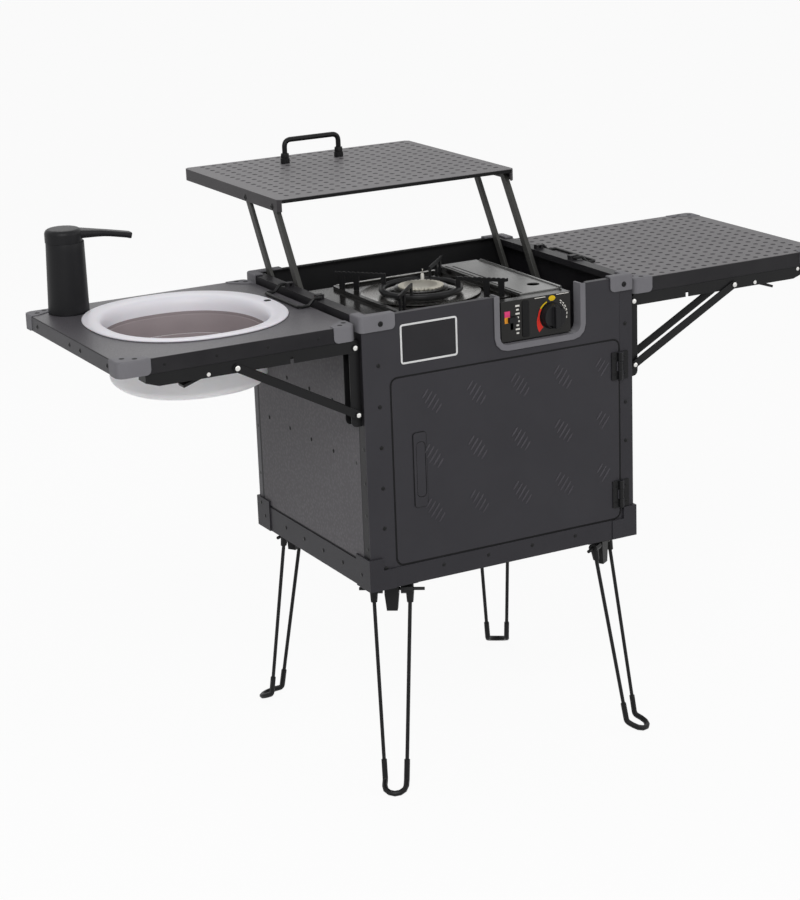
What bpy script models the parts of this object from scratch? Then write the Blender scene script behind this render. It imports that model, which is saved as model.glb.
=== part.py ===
"""A camping chuck box on folding legs: cabinet, lift-up lid, two folding wings, basin, tap and gas stove.

Box coordinates are used throughout: the origin is the cabinet's front left bottom corner, +X runs to the
right, +Y to the rear and +Z up. The last step moves the whole box so that the world origin lies on the floor
under the middle of the opened object. All lengths are in metres, all angles in degrees.
"""
import math

import bmesh
import bpy
from mathutils import Matrix, Vector

# Shared sheet, gap and facet sizes
SHEET = 0.0020
SEAT_GAP = 0.0003
OVERRUN = 0.0040
WELD = 0.0006
CORNER_STEPS = 3
ROUND_SIDES = 10
SMALL_SIDES = 8
BASIN_SIDES = 32
WIDE_SIDES = 20
SMOOTH_ANGLE = 35

# Cabinet
BOX_WIDTH = 0.4700
BOX_DEPTH = 0.3850
BOX_HEIGHT = 0.4200
RAIL_WIDTH = 0.0200
RAIL_LIP = 0.0100
TRAY_SHEET = 0.0015
TRAY_SIDE_HEIGHT = 0.0400
TRAY_FRONT_HEIGHT = 0.0310
GUARD_SHEET = 0.0035
GUARD_HEIGHT = 0.0500
GUARD_ARM = 0.0410
GUARD_STEP = 0.0200
FLOOR_SHEET = 0.0025

# Top corner blocks
BLOCK_ARM_FRONT = 0.0545
BLOCK_ARM_SIDE = 0.0300
BLOCK_HEIGHT = 0.0290
BLOCK_SKIN = 0.0025
BLOCK_COVER = 0.0120

# Inner shelves
STOVE_SHELF_DROP = 0.1160
STOVE_SHELF_FLANGE = 0.0400
STORE_SHELF_SPACING = 0.1050
STORE_SHELF_FLANGE = 0.0140

# Door and its two hinges
DOOR_LEFT = 0.0460
DOOR_RIGHT_MARGIN = 0.0260
DOOR_BOTTOM = 0.0340
DOOR_BELOW_NOTCH = 0.0130
DOOR_ROUND = 0.0100
DOOR_CLEARANCE = 0.0012
DOOR_PROUD = 0.0006
HINGE_AXIS_OUT = 0.0044
HINGE_AXIS_BESIDE = 0.0010
HINGE_BARREL = 0.0035
HINGE_PIN = 0.0017
HINGE_LEAF = 0.0120
HINGE_DOOR_LEAF = 0.0100
HINGE_LEAF_SHEET = 0.0018
HINGE_HEIGHT = 0.0440
HINGE_LOW_MARGIN = 0.0170
HINGE_HIGH_MARGIN = 0.0190
HINGE_RUNNING = 0.0004
PULL_IN = 0.0317
PULL_BELOW_MIDDLE = 0.0015
PULL_WIDTH = 0.0229
PULL_HEIGHT = 0.1170
PULL_PLATE = 0.0030
PULL_RIM = 0.0045
PULL_POCKET = 0.0018
PULL_ROUND = 0.0060
PULL_GRIP_WIDTH = 0.0050

# Stove notch in the front panel and the grey trim round it
NOTCH_ROOM_LEFT = 0.0160
NOTCH_ROOM_RIGHT = 0.0225
NOTCH_ROOM_BELOW = 0.0115
NOTCH_ROUND = 0.0220
NOTCH_BAND = 0.0095
NOTCH_LIP = 0.0022
NOTCH_DEPTH = 0.0180
NOTCH_WALL = 0.0042
TRIM_RISE = 0.0010

# Leg brackets, legs and feet
LEG_HEIGHT = 0.3200
LEG_INSET_X = 0.0460
LEG_INSET_Y = 0.0230
LEG_TURN = 33.3
LEG_PIN_DROP = 0.0110
LEG_PIN = 0.0027
LEG_PIN_LENGTH = 0.1000
LEG_PLATE_X = 0.0720
LEG_PLATE_Y = 0.0380
LEG_PLATE = 0.0026
FOOT_WIDTH = 0.0220
FOOT_TIP = 0.0165
FOOT_DEPTH = 0.0140
FOOT_DROP = 0.0335
LUG_SPAN = 0.0660
LUG_WIDTH = 0.0190
LUG_BARREL = 0.0074
LUG_DROP = 0.0200
LUG_TIP = 0.0100
LUG_BORE = 0.0032
ROD_RADIUS = 0.0030
ROD_TOP_SPACING = 0.0550
SLEEVE_RADIUS = 0.0045
SLEEVE_LENGTH = 0.0320
LOOP_WIDTH = 0.0420
LEG_SPLAY = 9.4
TOE_REACH = 0.0270
TOE_DIP = 0.0110
KNEE_BEND = 0.0080

# Lid, its handle and its parallel arms
LID_LEFT = 0.0217
LID_AHEAD_OF_PIN = 0.0243
LID_DEPTH = 0.3616
LID_ABOVE_PIN = 0.0128
LID_FLANGE = 0.0190
LID_HEM = 0.0045
LID_CLIP = 0.0060
ARM_WIDTH = 0.0125
ARM_SHEET = 0.0030
ARM_LENGTH = 0.1958
ARM_LEAN = 31.5
ARM_SPACING = 0.0980
ARM_FOOT_INSET = 0.1583
ARM_FOOT_DROP = 0.0550
ARM_PIN = 0.0024
ARM_BORE = 0.0029
ARM_HEAD = 0.0045
ARM_HEAD_THICK = 0.0017
STANDOFF_RADIUS = 0.0060
HANDLE_FROM_REAR = 0.0663
HANDLE_OFF_MIDDLE = 0.0070
HANDLE_SPACING = 0.1010
HANDLE_RISE = 0.0400
HANDLE_ROD = 0.0037
HANDLE_COLLAR = 0.0070
HANDLE_COLLAR_HEIGHT = 0.0170
HANDLE_BEND = 0.0120

# Wings: thin trays that fold down about pins in the wall channels
WING_FRONT = 0.0059
WING_REAR_INSET = 0.0057
WING_REACH = 0.3757
WING_GAP = 0.0065
WING_DROP = 0.0092
WING_EDGE = 0.0223
WING_LIP = 0.0290
WING_CORNER = 0.0080
FOLD_OUT = 0.0080
FOLD_DROP = 0.0338

# Folding brackets under the wings
BRACE_DROP = 0.1010
BRACE_ALONG = 0.1890
BRACE_WIDTH = 0.0120
BRACE_SHEET = 0.0025
BRACE_FOOT_PIN = 0.0025
CHANNEL_FRONT = 0.0095
CHANNEL_WIDTH = 0.0210
CHANNEL_OUT = 0.0165
CHANNEL_SHEET = 0.0020
CHANNEL_TOP_RADIUS = 0.0110
CHANNEL_TAIL = 0.0195
CHANNEL_ROUND = 0.0080
BEAM_SKIN = 0.0020
BEAM_END_MARGIN = 0.0400
BEAM_END_SLOPE = 0.0200
BEAM_END_RISE = 0.0065
BEAM_BELOW = 0.0075
BEAM_BORE = 0.0030
BEAM_WEB_START = 0.0115
BEAM_SEAT_GAP = 0.0004
CATCH_BEYOND_BRACE = 0.0430
CATCH_DOWN = 0.0030
CATCH_REACH = 0.0380
CATCH_DROP = 0.0125
CATCH_BARREL = 0.0038
CATCH_SHEET = 0.0040
CATCH_PIN = 0.0015
CATCH_SIDE_GAP = 0.0015
PIN_HEAD = 0.0048
PIN_HEAD_THICK = 0.0018
RUNNING_GAP = 0.0004

# Carry bails on the side rails
BAIL_FRONT = 0.1450
BAIL_LENGTH = 0.1170
BAIL_WIRE = 0.0025
BAIL_PIVOT_IN = 0.0100
BAIL_PIVOT_RISE = 0.0033
BAIL_KNEE_OUT = 0.0030
BAIL_DROP_OUT = 0.0120
BAIL_REACH = 0.0280
BAIL_REST_GAP = 0.0005
BAIL_EYE_LENGTH = 0.0100
BAIL_EYE_WIDTH = 0.0120
BAIL_EYE_BORE = 0.0029
BAIL_EYE_RISE = 0.0070
BAIL_PIN_LENGTH = 0.0090

# Basin in the left wing, three tiers that nest
BASIN_NEAR_MARGIN = 0.0315
BASIN_FAR_MARGIN = 0.0397
BASIN_FRONT_MARGIN = 0.0476
BASIN_REAR_MARGIN = 0.0208
BASIN_SQUARENESS = 2.25
BASIN_RIM = 0.0300
BASIN_RIM_THICK = 0.0034
BASIN_HOLE_INSET = 0.0245
BASIN_WALL = 0.0022
BASIN_TIER_GAP = 0.0006
SKIRT_DEPTH = 0.0290
SKIRT_OVERLAP = 0.0040
SLEEVE_HEIGHT = 0.0340
SLEEVE_OVERLAP = 0.0045
PAN_HEIGHT = 0.0440
PAN_TAPER = 0.0140

# Tap on the left wing
TAP_FAR_MARGIN = 0.0577
TAP_REAR_MARGIN = 0.0373
TAP_BASE_RADIUS = 0.0310
TAP_TOP_RADIUS = 0.0270
TAP_SPLIT_HEIGHT = 0.1085
TAP_HEIGHT = 0.1285
TAP_ROUND = 0.0070
TAP_PEG_RADIUS = 0.0120
TAP_PEG_DEPTH = 0.0080
SPOUT_REACH = 0.1070
SPOUT_WIDTH = 0.0200
SPOUT_FALL = 0.0195
SPOUT_TIP_THICK = 0.0100
SPOUT_ROOT_THICK = 0.0130
SPOUT_SLANT = 0.0025

# Gas stove
STOVE_LEFT = 0.0320
STOVE_RIGHT_ROOM = 0.1080
STOVE_BODY_FRONT = 0.0190
STOVE_DEPTH = 0.2690
STOVE_PANEL_WIDTH = 0.1230
STOVE_PANEL_FRONT = 0.0060
STOVE_PANEL_HEIGHT = 0.0627
STOVE_DECK_HEIGHT = 0.0957
STOVE_BAY_RISE = 0.0092
STOVE_SKIN = 0.0018
BAY_WIDTH = 0.0715
BAY_FRONT_MARGIN = 0.0120
BAY_REAR_MARGIN = 0.0180
BAY_LEDGE = 0.0025
CRADLE_STEPS = (0.0380, 0.1530)
CRADLE_SHEET = 0.0040
CRADLE_HEIGHT = 0.0200
COVER_SHEET = 0.0018
COVER_EDGE = 0.0012
COVER_HINGE_RADIUS = 0.0022
THUMB_RADIUS = 0.0090
THUMB_IN = 0.0270
CARTRIDGE_RADIUS = 0.0320
CARTRIDGE_LENGTH = 0.1850
CARTRIDGE_COLLAR = 0.0170
CARTRIDGE_COLLAR_LENGTH = 0.0120
CARTRIDGE_SHOULDER = 0.0080
CARTRIDGE_ROOM = 0.0210
CARTRIDGE_FLOOR_GAP = 0.0040
CARTRIDGE_SKIN = 0.0010
CARTRIDGE_VALVE = 0.0020
BURNER_BACK = 0.1440
BURNER_RADIUS = 0.0420
BURNER_STEM = 0.0220
BURNER_RISE = 0.0140
BURNER_CAP = 0.0080
TRAY_BAY_GAP = 0.0002
TRAY_HALF_X = 0.0960
TRAY_HALF_Y = 0.1160
TRAY_RIM_HEIGHT = 0.0050
TRAY_RIM_WIDTH = 0.0080
TRAY_DISH_SHEET = 0.0012
TRAY_HOLE = 0.0300
RING_OUTER = 0.0580
RING_WIDTH = 0.0060
RING_THICK = 0.0030
TRIVET_RISE = 0.0305
PRONG_HALF_X = 0.0970
PRONG_HALF_Y = 0.1050
PRONG_SHEET = 0.0026
PRONG_INNER = 0.0300
PRONG_TIP_HEIGHT = 0.0060
PRONG_TEETH = 5
PRONG_TOOTH = 0.0016
PRONG_FOOT = 0.0080
KNOB_IN = 0.0330
KNOB_UP = 0.0295
KNOB_RADIUS = 0.0205
KNOB_DEPTH = 0.0110
KNOB_GRIP_WIDTH = 0.0080
KNOB_GRIP_PROUD = 0.0070
KNOB_SHAFT = 0.0040
LEVER_IN = 0.0190
LEVER_UP = 0.0335
LEVER_SLOT_WIDTH = 0.0050
LEVER_TRAVEL = 0.0120
LEVER_STEM = 0.0038
LEVER_TAB_WIDTH = 0.0150
LEVER_TAB_HEIGHT = 0.0080
LEVER_TAB_DEPTH = 0.0060

SIDES = ("left", "right")
ENDS = ("front", "rear")
ORIGIN = Vector((0.0, 0.0, 0.0))

# Places on the stove, which stands on the upper shelf and fills the cabinet's width up to its margins
STOVE_SHELF_TOP = BOX_HEIGHT - STOVE_SHELF_DROP
STORE_SHELF_TOP = STOVE_SHELF_TOP - STORE_SHELF_SPACING
STOVE_BOTTOM = STOVE_SHELF_TOP + SEAT_GAP
STOVE_DECK = STOVE_BOTTOM + STOVE_DECK_HEIGHT
STOVE_BAY_TOP = STOVE_DECK + STOVE_BAY_RISE
STOVE_RIGHT = BOX_WIDTH - STOVE_RIGHT_ROOM
STOVE_REAR = STOVE_BODY_FRONT + STOVE_DEPTH
STOVE_PANEL_LEFT = STOVE_RIGHT - STOVE_PANEL_WIDTH
STOVE_PANEL_BOTTOM = STOVE_BAY_TOP - STOVE_PANEL_HEIGHT
BAY_LEFT = STOVE_RIGHT - BAY_WIDTH
BAY_FRONT = STOVE_BODY_FRONT + BAY_FRONT_MARGIN
BAY_REAR = STOVE_REAR - BAY_REAR_MARGIN
COVER_LEFT = BAY_LEFT - BAY_LEDGE
COVER_TOP = STOVE_BAY_TOP + SEAT_GAP + COVER_SHEET
CARTRIDGE_FRONT = BAY_FRONT + CARTRIDGE_ROOM
CRADLE_PLACES = [CARTRIDGE_FRONT + step for step in CRADLE_STEPS]
BURNER_X = COVER_LEFT - STOVE_SKIN - TRAY_BAY_GAP - TRAY_HALF_X
BURNER_Y = STOVE_BODY_FRONT + BURNER_BACK
BURNER_TOP = STOVE_DECK + BURNER_RISE
TRIVET_TOP = STOVE_DECK + TRIVET_RISE
KNOB_X = STOVE_RIGHT - KNOB_IN
KNOB_Z = STOVE_PANEL_BOTTOM + KNOB_UP
LEVER_X = STOVE_PANEL_LEFT + LEVER_IN
LEVER_Z = STOVE_PANEL_BOTTOM + LEVER_UP

# Places on the front panel: the notch frames the stove's controls, and the door ends below it
NOTCH_LEFT = STOVE_PANEL_LEFT - NOTCH_ROOM_LEFT
NOTCH_RIGHT = STOVE_RIGHT + NOTCH_ROOM_RIGHT
NOTCH_BOTTOM = STOVE_PANEL_BOTTOM - NOTCH_ROOM_BELOW
DOOR_RIGHT = BOX_WIDTH - DOOR_RIGHT_MARGIN
DOOR_TOP = NOTCH_BOTTOM - DOOR_BELOW_NOTCH
HINGE_BOTTOMS = (DOOR_BOTTOM + HINGE_LOW_MARGIN, DOOR_TOP - HINGE_HIGH_MARGIN - HINGE_HEIGHT)
PULL_LEFT = DOOR_LEFT + PULL_IN
PULL_BOTTOM = (DOOR_BOTTOM + DOOR_TOP - PULL_HEIGHT) / 2 - PULL_BELOW_MIDDLE

# Places of the lid, which its arms hold behind and above the cabinet
ARM_FOOT_Y = BOX_DEPTH - ARM_FOOT_INSET
ARM_FOOT_Z = BOX_HEIGHT - ARM_FOOT_DROP
ARM_HEAD_Y = ARM_FOOT_Y + ARM_LENGTH * math.sin(math.radians(ARM_LEAN))
ARM_HEAD_Z = ARM_FOOT_Z + ARM_LENGTH * math.cos(math.radians(ARM_LEAN))
ARM_OUTER = LID_LEFT + SHEET + SEAT_GAP
ARM_INNER = ARM_OUTER + ARM_SHEET
LID_WIDTH = BOX_WIDTH - 2 * LID_LEFT
LID_FRONT = ARM_HEAD_Y - LID_AHEAD_OF_PIN
LID_TOP = ARM_HEAD_Z + LID_ABOVE_PIN
LID_UNDER = LID_TOP - SHEET
HANDLE_X = BOX_WIDTH / 2 - HANDLE_OFF_MIDDLE
HANDLE_Y = LID_FRONT + LID_DEPTH - HANDLE_FROM_REAR

# Places of the wings and of the brackets that carry them
WING_DEPTH = BOX_DEPTH - WING_FRONT - WING_REAR_INSET
WING_TOP = BOX_HEIGHT - WING_DROP
WING_UNDER = WING_TOP - WING_EDGE
FOLD_HEIGHT = WING_TOP - FOLD_DROP
FOOT_PIVOT_HEIGHT = FOLD_HEIGHT - BRACE_DROP
CHANNEL_BOTTOM = FOOT_PIVOT_HEIGHT - CHANNEL_TAIL
BEAM_LENGTH = WING_REACH - FOLD_OUT - BEAM_END_MARGIN
BEAM_TOP = WING_UNDER - BEAM_SEAT_GAP
BEAM_FRONT = CHANNEL_FRONT - RUNNING_GAP - BEAM_SKIN
BEAM_REAR = CHANNEL_FRONT + CHANNEL_WIDTH + RUNNING_GAP + BEAM_SKIN
CATCH_OUT = BRACE_ALONG + CATCH_BEYOND_BRACE
CATCH_TIP_OUT = CATCH_OUT + CATCH_REACH
CATCH_TIP_DOWN = CATCH_DOWN + CATCH_DROP

# Places of the basin and the tap on the left wing
BASIN_HALF_X = (WING_REACH - WING_GAP - BASIN_NEAR_MARGIN - BASIN_FAR_MARGIN) / 2
BASIN_HALF_Y = (WING_DEPTH - BASIN_FRONT_MARGIN - BASIN_REAR_MARGIN) / 2
BASIN_X = -WING_GAP - BASIN_NEAR_MARGIN - BASIN_HALF_X
BASIN_Y = WING_FRONT + BASIN_FRONT_MARGIN + BASIN_HALF_Y
BASIN_TOP = WING_TOP + SEAT_GAP + BASIN_RIM_THICK
SKIRT_BOTTOM = WING_TOP - SKIRT_DEPTH
SLEEVE_TOP = SKIRT_BOTTOM + SKIRT_OVERLAP
SLEEVE_BOTTOM = SLEEVE_TOP - SLEEVE_HEIGHT
PAN_TOP = SLEEVE_BOTTOM + SLEEVE_OVERLAP
PAN_BOTTOM = PAN_TOP - PAN_HEIGHT
TAP_X = TAP_FAR_MARGIN - WING_REACH
TAP_Y = WING_FRONT + WING_DEPTH - TAP_REAR_MARGIN
TAP_SPLIT = WING_TOP + TAP_SPLIT_HEIGHT
TAP_TOP = WING_TOP + TAP_HEIGHT
SPOUT_TIP_TOP = TAP_TOP - SPOUT_FALL


def look(name, colour, roughness, metallic):
    """A Principled material with the piece's colour (linear), roughness and metal share."""
    finish = bpy.data.materials.new(name)
    finish.use_nodes = True
    shader = finish.node_tree.nodes["Principled BSDF"]
    shader.inputs["Base Color"].default_value = (*colour, 1.0)
    shader.inputs["Roughness"].default_value = roughness
    shader.inputs["Metallic"].default_value = metallic
    return finish


def lofted(rings, closed=False):
    """Skin a row of rings; the ends are capped, or joined to each other when closed."""
    shape = bmesh.new()
    rows = [[shape.verts.new(point) for point in ring] for ring in rings]
    pairs = list(zip(rows, rows[1:]))
    if closed:
        pairs.append((rows[-1], rows[0]))
    else:
        shape.faces.new(rows[0])
        shape.faces.new(rows[-1])
    for near, far in pairs:
        for index in range(len(near)):
            shape.faces.new((near[index - 1], near[index], far[index], far[index - 1]))
    bmesh.ops.recalc_face_normals(shape, faces=shape.faces[:])
    return shape


def lifted(a, b, depth, axis):
    """Place an outline point (a, b) at a depth along the axis the outline is drawn square to."""
    places = {"x": (depth, a, b), "y": (a, depth, b), "z": (a, b, depth)}
    return Vector(places[axis])


def prism(outline, axis, first, last):
    """Push an outline along one axis."""
    return lofted([[lifted(a, b, depth, axis) for a, b in outline] for depth in (first, last)])


def block(first, last):
    """A box between two opposite corners."""
    outline = [(first[0], first[1]), (last[0], first[1]), (last[0], last[1]), (first[0], last[1])]
    return prism(outline, "z", first[2], last[2])


def rounded(first, last, radius, steps=CORNER_STEPS):
    """The outline of a rectangle between two corners, with round corners."""
    low = [min(pair) + radius for pair in zip(first, last)]
    high = [max(pair) - radius for pair in zip(first, last)]
    middles = ((high[0], high[1]), (low[0], high[1]), (low[0], low[1]), (high[0], low[1]))
    outline = []
    for quarter, (a, b) in enumerate(middles):
        for step in range(steps + 1):
            angle = math.radians(90 * (quarter + step / steps))
            outline.append((a + radius * math.cos(angle), b + radius * math.sin(angle)))
    return outline


def circle(radius, sides, start=0.0):
    """Points of a regular polygon round the origin."""
    turns = [start + 2 * math.pi * index / sides for index in range(sides)]
    return [(radius * math.cos(turn), radius * math.sin(turn)) for turn in turns]


def turned(profile, middle, axis, sides=ROUND_SIDES):
    """Turn a profile of (radius, place along the axis) about an axis through a point of its plane."""
    rings = []
    for radius, depth in profile:
        rings.append([lifted(middle[0] + a, middle[1] + b, depth, axis) for a, b in circle(radius, sides)])
    return lofted(rings)


def pipe(path, radii, sides=SMALL_SIDES):
    """A round bar along a path, with one radius for each point of the path."""
    directions = []
    for index in range(len(path)):
        before = path[max(index - 1, 0)]
        after = path[min(index + 1, len(path) - 1)]
        directions.append((after - before).normalized())
    side = directions[0].orthogonal().normalized()
    rings = []
    for point, direction, radius in zip(path, directions, radii):
        side = (side - side.dot(direction) * direction).normalized()
        other = direction.cross(side)
        rings.append([point + a * side + b * other for a, b in circle(radius, sides)])
    return lofted(rings)


def bent(corners, radius, steps=CORNER_STEPS):
    """A path through corners, each inner corner rounded to a bend radius."""
    path = [corners[0]]
    for before, corner, after in zip(corners, corners[1:], corners[2:]):
        back = (before - corner).normalized()
        ahead = (after - corner).normalized()
        half = back.angle(ahead) / 2
        start = corner + back * radius / math.tan(half)
        end = corner + ahead * radius / math.tan(half)
        centre = corner + (back + ahead).normalized() * radius / math.sin(half)
        sweep = math.pi - 2 * half
        spin_axis = (start - centre).cross(end - centre).normalized()
        for step in range(steps + 1):
            turn = Matrix.Rotation(sweep * step / steps, 3, spin_axis)
            path.append(centre + turn @ (start - centre))
    path.append(corners[-1])
    return path


def together(*shapes):
    """Put several separate shapes in one mesh, to be cut or welded in one go."""
    whole = bmesh.new()
    for shape in shapes:
        mesh = bpy.data.meshes.new("shape")
        shape.to_mesh(mesh)
        whole.from_mesh(mesh)
        bpy.data.meshes.remove(mesh)
    return whole


def moved(shape, matrix):
    """Move or turn a shape."""
    shape.transform(matrix)
    return shape


def anchor(name, point, parent=None):
    """An empty at a joint's axis, or at the cabinet's corner, that carries the pieces of one body."""
    empty = bpy.data.objects.new(name, None)
    bpy.context.scene.collection.objects.link(empty)
    empty["box_point"] = tuple(point)
    empty.parent = parent
    base = Vector(parent["box_point"]) if parent else ORIGIN
    empty.location = Vector(point) - base
    return empty


def piece(name, shape, finish, carrier, smooth=False):
    """Make one named piece from a shape drawn in box coordinates, with its origin on its carrier's axis."""
    shape.transform(Matrix.Translation(-Vector(carrier["box_point"])))
    mesh = bpy.data.meshes.new(name)
    shape.to_mesh(mesh)
    shape.free()
    mesh.materials.append(finish)
    if smooth:
        mesh.shade_smooth()
        mesh.set_sharp_from_angle(angle=math.radians(SMOOTH_ANGLE))
    made = bpy.data.objects.new(name, mesh)
    bpy.context.scene.collection.objects.link(made)
    made.parent = carrier
    return made


def worked(made, shape, operation):
    """Weld a shape to a piece (UNION) or cut it out (DIFFERENCE)."""
    count = len(made.modifiers) + 1
    tool = piece(f"{made.name}.tool{count}", shape, made.data.materials[0], made.parent)
    tool.hide_render = True
    tool.display_type = "WIRE"
    step = made.modifiers.new(f"{operation.lower()} {count}", "BOOLEAN")
    step.operation = operation
    step.object = tool


def weld(made, *shapes):
    """Weld shapes, which may not touch each other, to a piece."""
    worked(made, together(*shapes), "UNION")


def cut(made, *shapes):
    """Cut shapes, which may not touch each other, out of a piece."""
    worked(made, together(*shapes), "DIFFERENCE")


def side_x(side, inward):
    """The x of a place that lies a distance inside the left or right wall's outer face."""
    return inward if side == "left" else BOX_WIDTH - inward


def end_y(end, inward):
    """The y of a place that lies a distance inside the front or rear face."""
    return inward if end == "front" else BOX_DEPTH - inward


def wing_y(end, inward):
    """The y of a place in a folding bracket, counted from the wing's own middle line."""
    middle = WING_FRONT + WING_DEPTH / 2
    return inward if end == "front" else 2 * middle - inward


def side_panel(side, finish, carrier):
    """A side wall with its turned-in top rail, the bail's two eyes and the stand-offs of the lid arms."""
    profile = [
        (side_x(side, 0.0), SEAT_GAP + FLOOR_SHEET),
        (side_x(side, 0.0), BOX_HEIGHT),
        (side_x(side, RAIL_WIDTH), BOX_HEIGHT),
        (side_x(side, RAIL_WIDTH), BOX_HEIGHT - RAIL_LIP),
        (side_x(side, RAIL_WIDTH - SHEET), BOX_HEIGHT - RAIL_LIP),
        (side_x(side, RAIL_WIDTH - SHEET), BOX_HEIGHT - SHEET),
        (side_x(side, SHEET), BOX_HEIGHT - SHEET),
        (side_x(side, SHEET), SEAT_GAP + FLOOR_SHEET),
    ]
    inset = SHEET + SEAT_GAP
    wall = piece(f"{side}_panel", prism(profile, "y", inset, BOX_DEPTH - inset), finish, carrier)
    posts = []
    eyes = []
    bores = []
    pivot = (side_x(side, BAIL_PIVOT_IN), BOX_HEIGHT + BAIL_PIVOT_RISE)
    head = ARM_INNER + SEAT_GAP
    for place in (ARM_FOOT_Y, ARM_FOOT_Y + ARM_SPACING):
        heights = (SHEET - WELD, ARM_OUTER - SEAT_GAP, head, head + ARM_HEAD_THICK)
        root, seat, under, tip = (side_x(side, height) for height in heights)
        profile = [(STANDOFF_RADIUS, root), (STANDOFF_RADIUS, seat), (ARM_PIN, seat),
                   (ARM_PIN, under), (ARM_HEAD, under), (ARM_HEAD, tip)]
        posts.append(turned(profile, (place, ARM_FOOT_Z), "x", SMALL_SIDES))
    for start in (BAIL_FRONT + BAIL_WIRE + RUNNING_GAP, BAIL_FRONT + BAIL_LENGTH - BAIL_WIRE - RUNNING_GAP):
        end = start + (BAIL_EYE_LENGTH if start < BAIL_FRONT + BAIL_LENGTH / 2 else -BAIL_EYE_LENGTH)
        half = BAIL_EYE_WIDTH / 2
        eyes.append(block((side_x(side, BAIL_PIVOT_IN - half), start, BOX_HEIGHT - WELD),
                          (side_x(side, BAIL_PIVOT_IN + half), end, BOX_HEIGHT + BAIL_EYE_RISE)))
        over = OVERRUN / 2 if start < end else -OVERRUN / 2
        profile = [(BAIL_EYE_BORE, start - over), (BAIL_EYE_BORE, end + over)]
        bores.append(turned(profile, pivot, "y", SMALL_SIDES))
    weld(wall, *posts, *eyes)
    cut(wall, *bores)
    return wall


def rear_panel(finish, carrier):
    """The rear wall with its turned-in top rail."""
    outer = BOX_DEPTH
    foot = SEAT_GAP + FLOOR_SHEET
    profile = [
        (outer, foot), (outer, BOX_HEIGHT), (outer - RAIL_LIP, BOX_HEIGHT),
        (outer - RAIL_LIP, BOX_HEIGHT - SHEET), (outer - SHEET, BOX_HEIGHT - SHEET), (outer - SHEET, foot),
    ]
    wall = piece("rear_panel", prism(profile, "x", 0.0, BOX_WIDTH), finish, carrier)
    rail = RAIL_WIDTH + SEAT_GAP
    low = (BOX_DEPTH - SHEET, BOX_HEIGHT - SHEET - OVERRUN)
    high = (BOX_DEPTH - RAIL_LIP - OVERRUN, BOX_HEIGHT + OVERRUN)
    cut(wall, *(block((side_x(side, -OVERRUN), *low), (side_x(side, rail), *high)) for side in SIDES))
    return wall


def notch_outline(grow, top):
    """The U of the stove notch, a distance inside its outer edge, open at the top."""
    low = (NOTCH_LEFT + grow, NOTCH_BOTTOM + grow)
    high = (NOTCH_RIGHT - grow, top)
    radius = NOTCH_ROUND - grow
    outline = [(low[0], high[1])]
    middles = ((low[0] + radius, low[1] + radius), (high[0] - radius, low[1] + radius))
    for start, middle in zip((180, 270), middles):
        for step in range(CORNER_STEPS + 1):
            angle = math.radians(start + 90 * step / CORNER_STEPS)
            outline.append((middle[0] + radius * math.cos(angle), middle[1] + radius * math.sin(angle)))
    outline.append(high)
    return outline


def hinge_centre():
    """The door hinges' axis in plan."""
    return DOOR_RIGHT + HINGE_AXIS_BESIDE, -HINGE_AXIS_OUT


def front_panel(finish, carrier):
    """The front wall with its door opening, stove notch and the fixed halves of the two hinges."""
    foot = SEAT_GAP + FLOOR_SHEET
    wall = piece("front_panel", block((0.0, 0.0, foot), (BOX_WIDTH, SHEET, BOX_HEIGHT)), finish, carrier)
    low = (DOOR_LEFT - DOOR_CLEARANCE, DOOR_BOTTOM - DOOR_CLEARANCE)
    high = (DOOR_RIGHT + DOOR_CLEARANCE, DOOR_TOP + DOOR_CLEARANCE)
    doorway = prism(rounded(low, high, DOOR_ROUND), "y", -OVERRUN, SHEET + OVERRUN)
    passage = NOTCH_BAND - NOTCH_WALL - SEAT_GAP
    notch = prism(notch_outline(passage, BOX_HEIGHT + OVERRUN), "y", -OVERRUN, SHEET + OVERRUN)
    cut(wall, doorway, notch)
    rail = RAIL_WIDTH + SEAT_GAP
    stops = (NOTCH_LEFT - OVERRUN, NOTCH_RIGHT + OVERRUN)
    rails = [block((side_x(side, rail), SHEET - WELD, BOX_HEIGHT - SHEET), (stop, RAIL_LIP, BOX_HEIGHT))
             for side, stop in zip(SIDES, stops)]
    weld(wall, *rails)
    axis_x, axis_y = hinge_centre()
    barrel_edge = axis_x + HINGE_BARREL + RUNNING_GAP
    third = HINGE_HEIGHT / 3
    for bottom in HINGE_BOTTOMS:
        top = bottom + HINGE_HEIGHT
        weld(wall, block((barrel_edge, -HINGE_LEAF_SHEET, bottom), (barrel_edge + HINGE_LEAF, WELD, top)))
        ends = ((bottom, bottom + third - HINGE_RUNNING), (top - third + HINGE_RUNNING, top))
        tabs = []
        for low_end, high_end in ends:
            tabs.append(block((axis_x, axis_y, low_end), (barrel_edge + SHEET, -SEAT_GAP, high_end)))
        weld(wall, *tabs)
        barrels = []
        for low_end, high_end in ends:
            barrels.append(turned([(HINGE_BARREL, low_end), (HINGE_BARREL, high_end)], (axis_x, axis_y), "z"))
        weld(wall, *barrels)
        pin_span = (bottom + third - 2 * HINGE_RUNNING, bottom + 2 * third + 2 * HINGE_RUNNING)
        weld(wall, turned([(HINGE_PIN, height) for height in pin_span], (axis_x, axis_y), "z", SMALL_SIDES))
    return wall


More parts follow.
